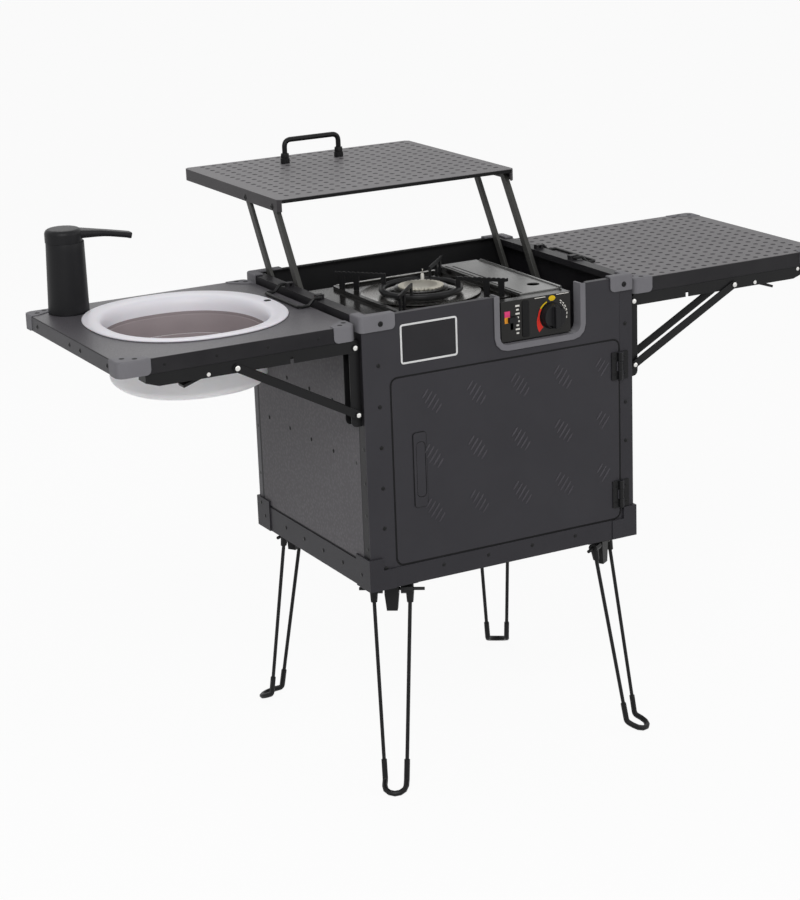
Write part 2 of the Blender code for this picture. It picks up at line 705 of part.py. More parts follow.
def base_tray(finish, carrier):
    """The floor sheet, its edge turned up outside the walls, and the four cast corner guards on it."""
    skin = SEAT_GAP + TRAY_SHEET
    sheet = block((-skin, -skin, 0.0), (BOX_WIDTH + skin, BOX_DEPTH + skin, TRAY_SIDE_HEIGHT))
    tray = piece("base_tray", sheet, finish, carrier)
    guards = []
    reach = SEAT_GAP + GUARD_SHEET
    for side in SIDES:
        for end in ENDS:
            guards.append(block((side_x(side, -reach), end_y(end, -reach), -SEAT_GAP),
                                (side_x(side, GUARD_ARM), end_y(end, GUARD_ARM), GUARD_HEIGHT)))
    weld(tray, *guards)
    inside = block((-SEAT_GAP, -SEAT_GAP, FLOOR_SHEET),
                   (BOX_WIDTH + SEAT_GAP, BOX_DEPTH + SEAT_GAP, GUARD_HEIGHT + OVERRUN))
    cut(tray, inside)
    front = block((GUARD_STEP, -reach - OVERRUN, TRAY_FRONT_HEIGHT),
                  (BOX_WIDTH - GUARD_STEP, SEAT_GAP + OVERRUN, GUARD_HEIGHT + OVERRUN))
    cut(tray, front)
    return tray


def shelf(name, top, flange, finish, carrier):
    """A shelf plate whose two side edges turn down and are riveted to the side walls."""
    low = SHEET + SEAT_GAP
    high = BOX_WIDTH - low
    outline = [
        (low, top - flange), (low, top), (high, top), (high, top - flange), (high - SHEET, top - flange),
        (high - SHEET, top - SHEET), (low + SHEET, top - SHEET), (low + SHEET, top - flange),
    ]
    return piece(name, prism(outline, "y", low, BOX_DEPTH - low), finish, carrier)


def corner_block(side, end, finish, carrier):
    """A grey moulded cap over a top corner: an L that wraps both outer faces and covers the rails."""
    skin = BLOCK_SKIN + SEAT_GAP
    plan = [
        (-skin, -skin), (BLOCK_ARM_FRONT, -skin), (BLOCK_ARM_FRONT, BLOCK_COVER), (BLOCK_COVER, BLOCK_COVER),
        (BLOCK_COVER, BLOCK_ARM_SIDE), (-skin, BLOCK_ARM_SIDE),
    ]
    outline = [(side_x(side, a), end_y(end, b)) for a, b in plan]
    top = BOX_HEIGHT + skin
    cap = piece(f"corner_{end}_{side}", prism(outline, "z", top - BLOCK_HEIGHT, top), finish, carrier)
    past = BLOCK_ARM_FRONT + OVERRUN
    inside = block((side_x(side, -SEAT_GAP), end_y(end, -SEAT_GAP), top - BLOCK_HEIGHT - OVERRUN),
                   (side_x(side, past), end_y(end, past), BOX_HEIGHT + SEAT_GAP))
    cut(cap, inside)
    return cap


def notch_trim(finish, carrier):
    """The grey U-shaped trim: a lip on the front face and a deep inner wall through the notch."""
    top = BOX_HEIGHT + TRIM_RISE
    outer = notch_outline(0.0, top)
    inner = notch_outline(NOTCH_BAND, top)
    through = notch_outline(NOTCH_BAND - NOTCH_WALL, top)
    lip = prism(outer + inner[::-1], "y", -NOTCH_LIP - SEAT_GAP, -SEAT_GAP)
    trim = piece("notch_trim", lip, finish, carrier)
    weld(trim, prism(through + inner[::-1], "y", -SEAT_GAP - WELD, NOTCH_DEPTH))
    return trim


def leg_frame(side, end):
    """Where a leg's pin lies: its middle, the way along the pin and the way outward from the box."""
    middle = Vector((side_x(side, LEG_INSET_X), end_y(end, LEG_INSET_Y), -LEG_PIN_DROP))
    across = -1 if side == "left" else 1
    forward = -1 if end == "front" else 1
    turn = math.radians(LEG_TURN)
    outward = Vector((across * math.sin(turn), forward * math.cos(turn), 0.0))
    along = outward.cross(Vector((0.0, 0.0, 1.0)))
    return middle, along, outward


def leg_matrix(side, end):
    """Turn a shape drawn with X along the pin, Y outward and Z up, pin at the origin, into its corner."""
    middle, along, outward = leg_frame(side, end)
    turn = Matrix((along, outward, Vector((0.0, 0.0, 1.0)))).transposed()
    return Matrix.Translation(middle) @ turn.to_4x4()


def leg_bracket(side, end, finish, carrier):
    """A fixed mounting plate with the leg's pin and the short rubber foot between the leg's lugs."""
    middle, _, _ = leg_frame(side, end)
    top = -SEAT_GAP - SEAT_GAP
    half_x, half_y = LEG_PLATE_X / 2, LEG_PLATE_Y / 2
    plate = block((middle.x - half_x, middle.y - half_y, top - LEG_PLATE),
                  (middle.x + half_x, middle.y + half_y, top))
    bracket = piece(f"leg_bracket_{end}_{side}", plate, finish, carrier)
    plate_depth = LEG_PIN_DROP + top - WELD
    outline = [(-FOOT_WIDTH / 2, plate_depth), (FOOT_WIDTH / 2, plate_depth), (FOOT_WIDTH / 2, -LUG_BARREL),
               (FOOT_TIP / 2, -FOOT_DROP), (-FOOT_TIP / 2, -FOOT_DROP), (-FOOT_WIDTH / 2, -LUG_BARREL)]
    place = leg_matrix(side, end)
    foot = moved(prism(outline, "y", -FOOT_DEPTH / 2, FOOT_DEPTH / 2), place)
    weld(bracket, foot)
    reach = LEG_PIN_LENGTH / 2
    pin = turned([(LEG_PIN, -reach), (LEG_PIN, reach)], (0.0, 0.0), "x", SMALL_SIDES)
    weld(bracket, moved(pin, place))
    return bracket


def leg_path():
    """One leg's wire, with X along the pin, Y outward and Z up: down, out at the knee, round the toe."""
    drop = LEG_HEIGHT - LEG_PIN_DROP - SLEEVE_RADIUS
    splay = math.tan(math.radians(LEG_SPLAY))
    top = LUG_DROP - LUG_TIP / 2
    knee_drop = drop - TOE_DIP
    knee_out = knee_drop * splay
    half = LOOP_WIDTH / 2 - SLEEVE_RADIUS
    toe = Vector((0.0, TOE_REACH, -TOE_DIP)).normalized()
    tip = Vector((0.0, knee_out + TOE_REACH, -drop))
    centre = tip - toe * half
    start = Vector((-ROD_TOP_SPACING / 2, top * splay, -top))
    knee = Vector((-half, knee_out, -knee_drop))
    corner = Vector((-half, centre.y, centre.z))
    way = (start - knee).normalized()
    sleeve = knee + way * SLEEVE_LENGTH
    left = [start, sleeve + way * WELD, sleeve] + bent([sleeve, knee, corner], KNEE_BEND)[1:]
    radii = [ROD_RADIUS, ROD_RADIUS] + [SLEEVE_RADIUS] * (len(left) - 2)
    arc = []
    for step in range(1, 2 * CORNER_STEPS):
        angle = math.pi * step / (2 * CORNER_STEPS)
        arc.append(centre + Vector((-half * math.cos(angle), 0.0, 0.0)) + toe * half * math.sin(angle))
    right = [Vector((-point.x, point.y, point.z)) for point in left[::-1]]
    return left + arc + right, radii + [SLEEVE_RADIUS] * len(arc) + radii[::-1]


def leg(side, end, finish, carrier):
    """A hairpin leg: two tapered lugs on the pin, the bent wire between them and its rubber sleeve."""
    place = leg_matrix(side, end)
    path, radii = leg_path()
    wire = piece(f"leg_{end}_{side}", moved(pipe(path, radii), place), finish, carrier, smooth=True)
    lugs = []
    bores = []
    for way in (-1, 1):
        outer = way * LUG_SPAN / 2
        inner = way * (LUG_SPAN / 2 - LUG_WIDTH)
        middle = way * ROD_TOP_SPACING / 2
        lean = LUG_DROP * math.tan(math.radians(LEG_SPLAY))
        barrel = [(inner, a, b) for a, b in circle(LUG_BARREL, ROUND_SIDES)]
        far_barrel = [(outer, a, b) for a, b in circle(LUG_BARREL, ROUND_SIDES)]
        lugs.append(lofted([barrel, far_barrel]))
        upper = [(middle + a, b, 0.0) for a, b in circle(LUG_BARREL - WELD, ROUND_SIDES)]
        lower = [(middle + a, lean + b, -LUG_DROP) for a, b in circle(LUG_TIP / 2, ROUND_SIDES)]
        lugs.append(lofted([upper, lower]))
        spans = [(LUG_BORE, inner - way * OVERRUN), (LUG_BORE, outer + way * OVERRUN)]
        bores.append(turned(spans, (0.0, 0.0), "x", SMALL_SIDES))
    weld(wire, *(moved(lug, place) for lug in lugs[0::2]))
    weld(wire, *(moved(lug, place) for lug in lugs[1::2]))
    cut(wire, *(moved(bore, place) for bore in bores))
    return wire


def door(finish, carrier):
    """The door sheet with round corners, the hinges' moving leaves and their middle knuckles."""
    outline = rounded((DOOR_LEFT, DOOR_BOTTOM), (DOOR_RIGHT, DOOR_TOP), DOOR_ROUND)
    panel = piece("door", prism(outline, "y", -DOOR_PROUD, SHEET - DOOR_PROUD), finish, carrier)
    axis_x, axis_y = hinge_centre()
    edge = axis_x - HINGE_BARREL - RUNNING_GAP
    for bottom in HINGE_BOTTOMS:
        third = HINGE_HEIGHT / 3
        low_end = bottom + third
        high_end = bottom + 2 * third
        weld(panel, block((edge - HINGE_DOOR_LEAF, -HINGE_LEAF_SHEET - DOOR_PROUD, bottom),
                          (edge, WELD - DOOR_PROUD, bottom + HINGE_HEIGHT)))
        weld(panel, block((edge - SHEET, axis_y, low_end), (axis_x, -SEAT_GAP - DOOR_PROUD, high_end)))
        weld(panel, turned([(HINGE_BARREL, low_end), (HINGE_BARREL, high_end)], (axis_x, axis_y), "z"))
        bore = HINGE_PIN + RUNNING_GAP
        cut(panel, turned([(bore, low_end - OVERRUN), (bore, high_end + OVERRUN)], (axis_x, axis_y), "z"))
    return panel


def door_pull(finish, carrier):
    """The pull plate: a raised bezel round a shallow pocket with an upright grip bar in it."""
    back = -DOOR_PROUD - SEAT_GAP
    front = back - PULL_PLATE
    low = (PULL_LEFT, PULL_BOTTOM)
    high = (PULL_LEFT + PULL_WIDTH, PULL_BOTTOM + PULL_HEIGHT)
    pull = piece("door_pull", prism(rounded(low, high, PULL_ROUND), "y", back, front), finish, carrier)
    pocket_low = (low[0] + PULL_RIM, low[1] + PULL_RIM)
    pocket_high = (high[0] - PULL_RIM, high[1] - PULL_RIM)
    cut(pull, prism(rounded(pocket_low, pocket_high, PULL_RIM), "y", front - OVERRUN, front + PULL_POCKET))
    middle = (low[0] + high[0]) / 2
    half = PULL_GRIP_WIDTH / 2
    weld(pull, block((middle - half, back - WELD, pocket_low[1] - WELD),
                     (middle + half, front, pocket_high[1] + WELD)))
    return pull


def lid_panel(finish, carrier):
    """The lid sheet with deep flanges left and right, narrow hems front and rear and the rear arms' pins.

    The flanges stop short of the rear edge, so that the closed lid clears the cabinet's rear rail.
    """
    low = (LID_LEFT, LID_FRONT)
    high = (LID_LEFT + LID_WIDTH, LID_FRONT + LID_DEPTH)
    outline = [
        (low[0], low[1] + LID_CLIP), (low[0] + LID_CLIP, low[1]), (high[0] - LID_CLIP, low[1]),
        (high[0], low[1] + LID_CLIP), (high[0], high[1] - LID_CLIP), (high[0] - LID_CLIP, high[1]),
        (low[0] + LID_CLIP, high[1]), (low[0], high[1] - LID_CLIP),
    ]
    lid = piece("lid_panel", prism(outline, "z", LID_TOP - LID_FLANGE, LID_TOP), finish, carrier)
    below = LID_TOP - LID_FLANGE - OVERRUN
    hem = LID_TOP - LID_HEM
    front, rear = low[1] + LID_CLIP, high[1] - LID_CLIP
    cut(lid, block((low[0] + SHEET, front, below), (high[0] - SHEET, rear, LID_UNDER)))
    cut(lid, block((low[0] + LID_CLIP, low[1] - OVERRUN, below), (high[0] - LID_CLIP, front + WELD, hem)))
    cut(lid, block((low[0] - OVERRUN, rear, below), (high[0] + OVERRUN, high[1] + OVERRUN, hem)))
    for edge, way in ((low[1], 1), (high[1], -1)):
        cut(lid, block((low[0] + LID_CLIP, edge + way * SHEET, hem - WELD),
                       (high[0] - LID_CLIP, edge + way * (LID_CLIP + WELD), LID_UNDER)))
    pins = []
    for side in SIDES:
        spans = (LID_LEFT + SHEET - WELD, ARM_INNER + SEAT_GAP, ARM_INNER + SEAT_GAP + ARM_HEAD_THICK)
        root, under, tip = (side_x(side, span) for span in spans)
        profile = [(ARM_PIN, root), (ARM_PIN, under), (ARM_HEAD, under), (ARM_HEAD, tip)]
        pins.append(turned(profile, (ARM_HEAD_Y + ARM_SPACING, ARM_HEAD_Z), "x", SMALL_SIDES))
    weld(lid, *pins)
    return lid


def lid_handle(finish, carrier):
    """The bent bar handle on two collars that stand on the lid."""
    base = LID_TOP + SEAT_GAP
    top = LID_TOP + HANDLE_RISE - HANDLE_ROD
    places = [HANDLE_X + way * HANDLE_SPACING / 2 for way in (-1, 1)]
    corners = [Vector((places[0], HANDLE_Y, base + WELD)), Vector((places[0], HANDLE_Y, top)),
               Vector((places[1], HANDLE_Y, top)), Vector((places[1], HANDLE_Y, base + WELD))]
    path = bent(corners, HANDLE_BEND)
    bar = piece("lid_handle", pipe(path, [HANDLE_ROD] * len(path)), finish, carrier, smooth=True)
    profile = [(HANDLE_COLLAR, base), (HANDLE_COLLAR, base + HANDLE_COLLAR_HEIGHT)]
    weld(bar, *(turned(profile, (place, HANDLE_Y), "z") for place in places))
    return bar


def lid_arm(side, end, finish, carrier):
    """A flat arm with round ends; its foot turns on the wall's stand-off, its head on the lid's pin."""
    foot_y = ARM_FOOT_Y + (ARM_SPACING if end == "rear" else 0.0)
    lean = math.radians(ARM_LEAN)
    half = ARM_WIDTH / 2
    outline = []
    for start, along in ((0.0, ARM_LENGTH), (math.pi, 0.0)):
        for step in range(2 * CORNER_STEPS + 1):
            angle = start + math.pi * step / (2 * CORNER_STEPS)
            outline.append((half * math.cos(angle), along + half * math.sin(angle)))
    cos, sin = math.cos(lean), math.sin(lean)
    leant = [(foot_y + a * cos + b * sin, ARM_FOOT_Z - a * sin + b * cos) for a, b in outline]
    arm = piece(f"lid_arm_{end}_{side}", prism(leant, "x", side_x(side, ARM_OUTER), side_x(side, ARM_INNER)),
                finish, carrier)
    holes = [(foot_y, ARM_FOOT_Z)]
    if end == "rear":
        holes.append((ARM_HEAD_Y + ARM_SPACING, ARM_HEAD_Z))
    spans = (side_x(side, ARM_OUTER - OVERRUN), side_x(side, ARM_INNER + OVERRUN))
    cut(arm, *(turned([(ARM_BORE, span) for span in spans], hole, "x", SMALL_SIDES) for hole in holes))
    if end == "front":
        inner = side_x(side, ARM_INNER - WELD)
        tip = side_x(side, ARM_INNER + SEAT_GAP + ARM_HEAD_THICK)
        weld(arm, turned([(ARM_HEAD, inner), (ARM_HEAD, tip)], (ARM_HEAD_Y, ARM_HEAD_Z), "x", SMALL_SIDES))
    return arm


def superellipse(inset, height):
    """One level ring of the basin, a distance inside the rim's outer edge."""
    ring = []
    for index in range(BASIN_SIDES):
        turn = 2 * math.pi * index / BASIN_SIDES
        reach = []
        for half, part in ((BASIN_HALF_X - inset, math.cos(turn)), (BASIN_HALF_Y - inset, math.sin(turn))):
            reach.append(math.copysign(half * abs(part) ** (2 / BASIN_SQUARENESS), part))
        ring.append(Vector((BASIN_X + reach[0], BASIN_Y + reach[1], height)))
    return ring


def wing(side, finish, carrier):
    """A wing: a thin tray with turned-down edges that return inward, and on the left the basin's hole."""
    near, far = -WING_GAP, -WING_REACH
    front, rear = WING_FRONT, WING_FRONT + WING_DEPTH
    outline = rounded((side_x(side, near), front), (side_x(side, far), rear), WING_CORNER, 2)
    board = piece(f"wing_{side}", prism(outline, "z", WING_UNDER, WING_TOP), finish, carrier)
    skin = WING_CORNER / 2
    cavity = block((side_x(side, near - skin), front + skin, WING_UNDER + SHEET),
                   (side_x(side, far + skin), rear - skin, WING_TOP - SHEET))
    mouth = block((side_x(side, near - WING_LIP), front + WING_LIP, WING_UNDER - OVERRUN),
                  (side_x(side, far + WING_LIP), rear - WING_LIP, WING_UNDER + SHEET + WELD))
    cut(board, mouth)
    cut(board, cavity)
    if side == "left":
        heights = (WING_UNDER - OVERRUN, WING_TOP + OVERRUN)
        cut(board, lofted([superellipse(BASIN_HOLE_INSET, height) for height in heights]))
        peg = TAP_PEG_RADIUS + SEAT_GAP + SEAT_GAP
        profile = [(peg, WING_TOP - SHEET - OVERRUN), (peg, WING_TOP + OVERRUN)]
        cut(board, turned(profile, (TAP_X, TAP_Y), "z", WIDE_SIDES))
    return board


def wall_channel(side, end, finish, carrier):
    """The upright channel on the side wall that holds the bracket's two pivots, with the upper pin."""
    front, rear = CHANNEL_FRONT, CHANNEL_FRONT + CHANNEL_WIDTH
    outline = [(-SEAT_GAP, CHANNEL_BOTTOM)]
    first = math.acos((FOLD_OUT - SEAT_GAP) / CHANNEL_TOP_RADIUS)
    last = math.acos((FOLD_OUT - CHANNEL_OUT) / CHANNEL_TOP_RADIUS)
    for step in range(2 * CORNER_STEPS + 1):
        angle = first + (last - first) * step / (2 * CORNER_STEPS)
        outline.append((-FOLD_OUT + CHANNEL_TOP_RADIUS * math.cos(angle),
                        FOLD_HEIGHT + CHANNEL_TOP_RADIUS * math.sin(angle)))
    for step in range(CORNER_STEPS + 1):
        angle = math.radians(180 + 90 * step / CORNER_STEPS)
        outline.append((-CHANNEL_OUT + CHANNEL_ROUND + CHANNEL_ROUND * math.cos(angle),
                        CHANNEL_BOTTOM + CHANNEL_ROUND + CHANNEL_ROUND * math.sin(angle)))
    placed = [(side_x(side, a), b) for a, b in outline]
    channel = piece(f"wall_channel_{end}_{side}", prism(placed, "y", wing_y(end, front), wing_y(end, rear)),
                    finish, carrier)
    inner = [wing_y(end, place) for place in (front + CHANNEL_SHEET, rear - CHANNEL_SHEET)]
    cut(channel, block((side_x(side, -SEAT_GAP - CHANNEL_SHEET), inner[0], CHANNEL_BOTTOM - OVERRUN),
                       (side_x(side, -CHANNEL_OUT - OVERRUN), inner[1], WING_UNDER)))
    bore = BRACE_FOOT_PIN + RUNNING_GAP
    fold_x = side_x(side, -FOLD_OUT)
    spans = [wing_y(end, span) for span in (front - OVERRUN, rear + OVERRUN)]
    cut(channel, turned([(bore, span) for span in spans], (fold_x, FOOT_PIVOT_HEIGHT), "y"))
    head = BEAM_SKIN + 2 * RUNNING_GAP
    spans = (front - head - PIN_HEAD_THICK, front - head, rear + head, rear + head + PIN_HEAD_THICK)
    radii = (PIN_HEAD, ARM_PIN, PIN_HEAD)
    first, second, third, fourth = (wing_y(end, span) for span in spans)
    profile = [(radii[0], first), (radii[0], second), (radii[1], second),
               (radii[1], third), (radii[2], third), (radii[2], fourth)]
    weld(channel, turned(profile, (fold_x, FOLD_HEIGHT), "y", SMALL_SIDES))
    return channel


def beam_at(side, out, down):
    """A place in the plane of a bracket: a distance out along the wing and down from its pivot."""
    return side_x(side, -FOLD_OUT - out), FOLD_HEIGHT - down


def wing_beam(side, end, finish, carrier):
    """The channel under the wing, open downward, that straddles the wall channel at its pivot.

    The notch in its flanges takes the brace's foot pin when the wing hangs down.
    """
    front, rear = BEAM_FRONT, BEAM_REAR
    low, high = FOLD_HEIGHT - BEAM_BELOW, BEAM_TOP
    outline = []
    for step in range(2 * CORNER_STEPS + 1):
        angle = math.radians(-90 + 90 * step / CORNER_STEPS)
        outline.append(beam_at(side, -BEAM_BELOW * math.cos(angle), -BEAM_BELOW * math.sin(angle)))
    outline += [
        beam_at(side, 0.0, FOLD_HEIGHT - high), beam_at(side, BEAM_LENGTH, FOLD_HEIGHT - high),
        beam_at(side, BEAM_LENGTH, BEAM_BELOW - BEAM_END_RISE),
        beam_at(side, BEAM_LENGTH - BEAM_END_SLOPE, BEAM_BELOW),
    ]
    beam = piece(f"wing_beam_{end}_{side}", prism(outline, "y", wing_y(end, front), wing_y(end, rear)),
                 finish, carrier)
    inner = (wing_y(end, front + BEAM_SKIN), wing_y(end, rear - BEAM_SKIN))
    cut(beam, block((side_x(side, -FOLD_OUT - BEAM_LENGTH + BEAM_SKIN), inner[0], low - OVERRUN),
                    (side_x(side, -FOLD_OUT + BEAM_BELOW + OVERRUN), inner[1], high - BEAM_SKIN)))
    cut(beam, block((side_x(side, -FOLD_OUT - BEAM_WEB_START), inner[0], low - OVERRUN),
                    (side_x(side, -FOLD_OUT + BEAM_BELOW + OVERRUN), inner[1], high + OVERRUN)))
    spans = [wing_y(end, span) for span in (front - OVERRUN, rear + OVERRUN)]
    rest = BRACE_FOOT_PIN + RUNNING_GAP
    bores = [turned([(radius, span) for span in spans], beam_at(side, out, down), "y")
             for radius, out, down in ((BEAM_BORE, 0.0, 0.0), (rest, BRACE_DROP, 0.0),
                                       (CATCH_PIN + RUNNING_GAP, CATCH_OUT, CATCH_DOWN))]
    cut(beam, *bores)
    notch = [beam_at(side, BRACE_DROP + way * rest, down)
             for way, down in ((-1, 0.0), (1, 0.0), (1, BEAM_BELOW + OVERRUN), (-1, BEAM_BELOW + OVERRUN))]
    cut(beam, prism(notch, "y", *spans))
    return beam


def brace(side, end, finish, carrier):
    """The folding brace: two flat bars outside the beam, joined by the pin in the wall channel's foot."""
    angle = math.atan2(BRACE_DROP, BRACE_ALONG)
    length = math.hypot(BRACE_DROP, BRACE_ALONG)
    half = BRACE_WIDTH / 2
    outline = []
    for start, along in ((-math.pi / 2, length), (math.pi / 2, 0.0)):
        for step in range(2 * CORNER_STEPS + 1):
            turn = start + math.pi * step / (2 * CORNER_STEPS)
            outline.append((along + half * math.cos(turn), half * math.sin(turn)))
    cos, sin = math.cos(angle), math.sin(angle)
    placed = [(side_x(side, -FOLD_OUT - a * cos + b * sin), FOOT_PIVOT_HEIGHT + a * sin + b * cos)
              for a, b in outline]
    inner_faces = (BEAM_FRONT - RUNNING_GAP, BEAM_REAR + RUNNING_GAP)
    outer_faces = (inner_faces[0] - BRACE_SHEET, inner_faces[1] + BRACE_SHEET)
    first, second = [prism(placed, "y", wing_y(end, inner), wing_y(end, outer))
                     for inner, outer in zip(inner_faces, outer_faces)]
    bars = piece(f"brace_{end}_{side}", first, finish, carrier)
    spans = (outer_faces[0] - PIN_HEAD_THICK, outer_faces[0] + WELD,
             outer_faces[1] - WELD, outer_faces[1] + PIN_HEAD_THICK)
    first, second_span, third, fourth = (wing_y(end, span) for span in spans)
    profile = [(PIN_HEAD, first), (PIN_HEAD, second_span), (BRACE_FOOT_PIN, second_span),
               (BRACE_FOOT_PIN, third), (PIN_HEAD, third), (PIN_HEAD, fourth)]
    weld(bars, turned(profile, (side_x(side, -FOLD_OUT), FOOT_PIVOT_HEIGHT), "y"))
    weld(bars, second)
    return bars


def catch_lever(side, end, finish, carrier):
    """The small catch between the beam's flanges that a finger squeezes to let the brace slide."""
    pivot_x, pivot_z = beam_at(side, CATCH_OUT, CATCH_DOWN)
    tip_x, tip_z = beam_at(side, CATCH_TIP_OUT, CATCH_TIP_DOWN)
    way = Vector((tip_x - pivot_x, tip_z - pivot_z))
    length = way.length
    way.normalize()
    square = Vector((-way.y, way.x)) * CATCH_SHEET / 2
    pivot = Vector((pivot_x, pivot_z))
    outline = [pivot + square, pivot + way * length + square, pivot + way * length - square, pivot - square]
    aside = BEAM_SKIN + CATCH_SIDE_GAP
    inner = (wing_y(end, BEAM_FRONT + aside), wing_y(end, BEAM_REAR - aside))
    blade = prism([tuple(point) for point in outline], "y", *inner)
    lever = piece(f"catch_lever_{end}_{side}", blade, finish, carrier)
    weld(lever, turned([(CATCH_BARREL, span) for span in inner], (pivot_x, pivot_z), "y"))
    pin_ends = (wing_y(end, BEAM_FRONT), wing_y(end, BEAM_REAR))
    weld(lever, turned([(CATCH_PIN, span) for span in pin_ends], (pivot_x, pivot_z), "y"))
    return lever


def bail(side, finish, carrier):
    """A wire carry handle whose ends turn in the eyes on the side rail; it lies out over the wing."""
    first, last = BAIL_FRONT, BAIL_FRONT + BAIL_LENGTH
    pivot_z = BOX_HEIGHT + BAIL_PIVOT_RISE
    rest_z = WING_TOP + BAIL_WIRE + BAIL_REST_GAP
    inward = BAIL_PIN_LENGTH
    plan = [
        (BAIL_PIVOT_IN, first + inward, pivot_z), (BAIL_PIVOT_IN, first, pivot_z),
        (-BAIL_KNEE_OUT, first, pivot_z), (-BAIL_DROP_OUT, first, rest_z), (-BAIL_REACH, first, rest_z),
        (-BAIL_REACH, last, rest_z), (-BAIL_DROP_OUT, last, rest_z), (-BAIL_KNEE_OUT, last, pivot_z),
        (BAIL_PIVOT_IN, last, pivot_z), (BAIL_PIVOT_IN, last - inward, pivot_z),
    ]
    corners = [Vector((side_x(side, x), y, z)) for x, y, z in plan]
    path = bent(corners, BAIL_WIRE, 1)
    return piece(f"bail_{side}", pipe(path, [BAIL_WIRE] * len(path)), finish, carrier, smooth=True)


def basin_tier(name, profile, finish, carrier, closed=True):
    """One tier of the basin from a profile of (inset, height)."""
    rings = [superellipse(inset, height) for inset, height in profile]
    return piece(name, lofted(rings, closed=closed), finish, carrier, smooth=True)


def basin(finish, wing_carrier, sleeve_carrier, pan_carrier):
    """The collapsible basin: a flat rim with a skirt, a sliding sleeve and a sliding pan."""
    skirt_out = BASIN_HOLE_INSET + BASIN_TIER_GAP
    skirt_in = BASIN_RIM
    edge = BASIN_RIM_THICK / 2
    seat = BASIN_TOP - BASIN_RIM_THICK
    rim = [(edge, BASIN_TOP), (0.0, BASIN_TOP - edge), (edge, seat), (skirt_out, seat),
           (skirt_out, SKIRT_BOTTOM), (skirt_in, SKIRT_BOTTOM), (skirt_in, BASIN_TOP - edge),
           (skirt_in - edge, BASIN_TOP)]
    basin_tier("basin_rim", rim, finish, wing_carrier)
    sleeve_out = skirt_in + BASIN_TIER_GAP
    sleeve_in = sleeve_out + BASIN_WALL
    sleeve = [(sleeve_out, SLEEVE_TOP), (sleeve_out, SLEEVE_BOTTOM),
              (sleeve_in, SLEEVE_BOTTOM), (sleeve_in, SLEEVE_TOP)]
    basin_tier("basin_sleeve", sleeve, finish, sleeve_carrier)
    pan_out = sleeve_in + BASIN_TIER_GAP
    pan_in = pan_out + BASIN_WALL
    corner = PAN_BOTTOM + PAN_TAPER
    floor = PAN_BOTTOM + BASIN_WALL
    pan = [(pan_in + PAN_TAPER, floor), (pan_in, corner), (pan_in, PAN_TOP), (pan_out, PAN_TOP),
           (pan_out, corner - BASIN_WALL), (pan_out + PAN_TAPER, PAN_BOTTOM)]
    basin_tier("basin_pan", pan, finish, pan_carrier, closed=False)


def tap(finish, body_carrier, spout_carrier):
    """The tap: a tapered body on a peg in the wing, and a turning cap with a flat spout."""
    base = WING_TOP + SEAT_GAP
    profile = [(TAP_PEG_RADIUS, base - TAP_PEG_DEPTH), (TAP_PEG_RADIUS, base), (TAP_BASE_RADIUS, base),
               (TAP_TOP_RADIUS, TAP_SPLIT)]
    piece("tap_body", turned(profile, (TAP_X, TAP_Y), "z", WIDE_SIDES), finish, body_carrier, smooth=True)
    crown = [(TAP_TOP_RADIUS, TAP_SPLIT + SEAT_GAP)]
    for step in range(CORNER_STEPS + 1):
        angle = math.radians(90 * step / CORNER_STEPS)
        crown.append((TAP_TOP_RADIUS - TAP_ROUND + TAP_ROUND * math.cos(angle),
                      TAP_TOP - TAP_ROUND + TAP_ROUND * math.sin(angle)))
    cap = turned(crown, (TAP_X, TAP_Y), "z", WIDE_SIDES)
    spout = piece("tap_spout", cap, finish, spout_carrier, smooth=True)
    root_top = TAP_TOP - TAP_ROUND / 2
    tip = TAP_X + SPOUT_REACH
    outline = [(TAP_X, root_top), (tip, SPOUT_TIP_TOP), (tip - SPOUT_SLANT, SPOUT_TIP_TOP - SPOUT_TIP_THICK),
               (TAP_X + TAP_TOP_RADIUS, root_top - SPOUT_ROOT_THICK), (TAP_X, root_top - SPOUT_ROOT_THICK)]
    half = SPOUT_WIDTH / 2
    weld(spout, prism(outline, "y", TAP_Y - half, TAP_Y + half))


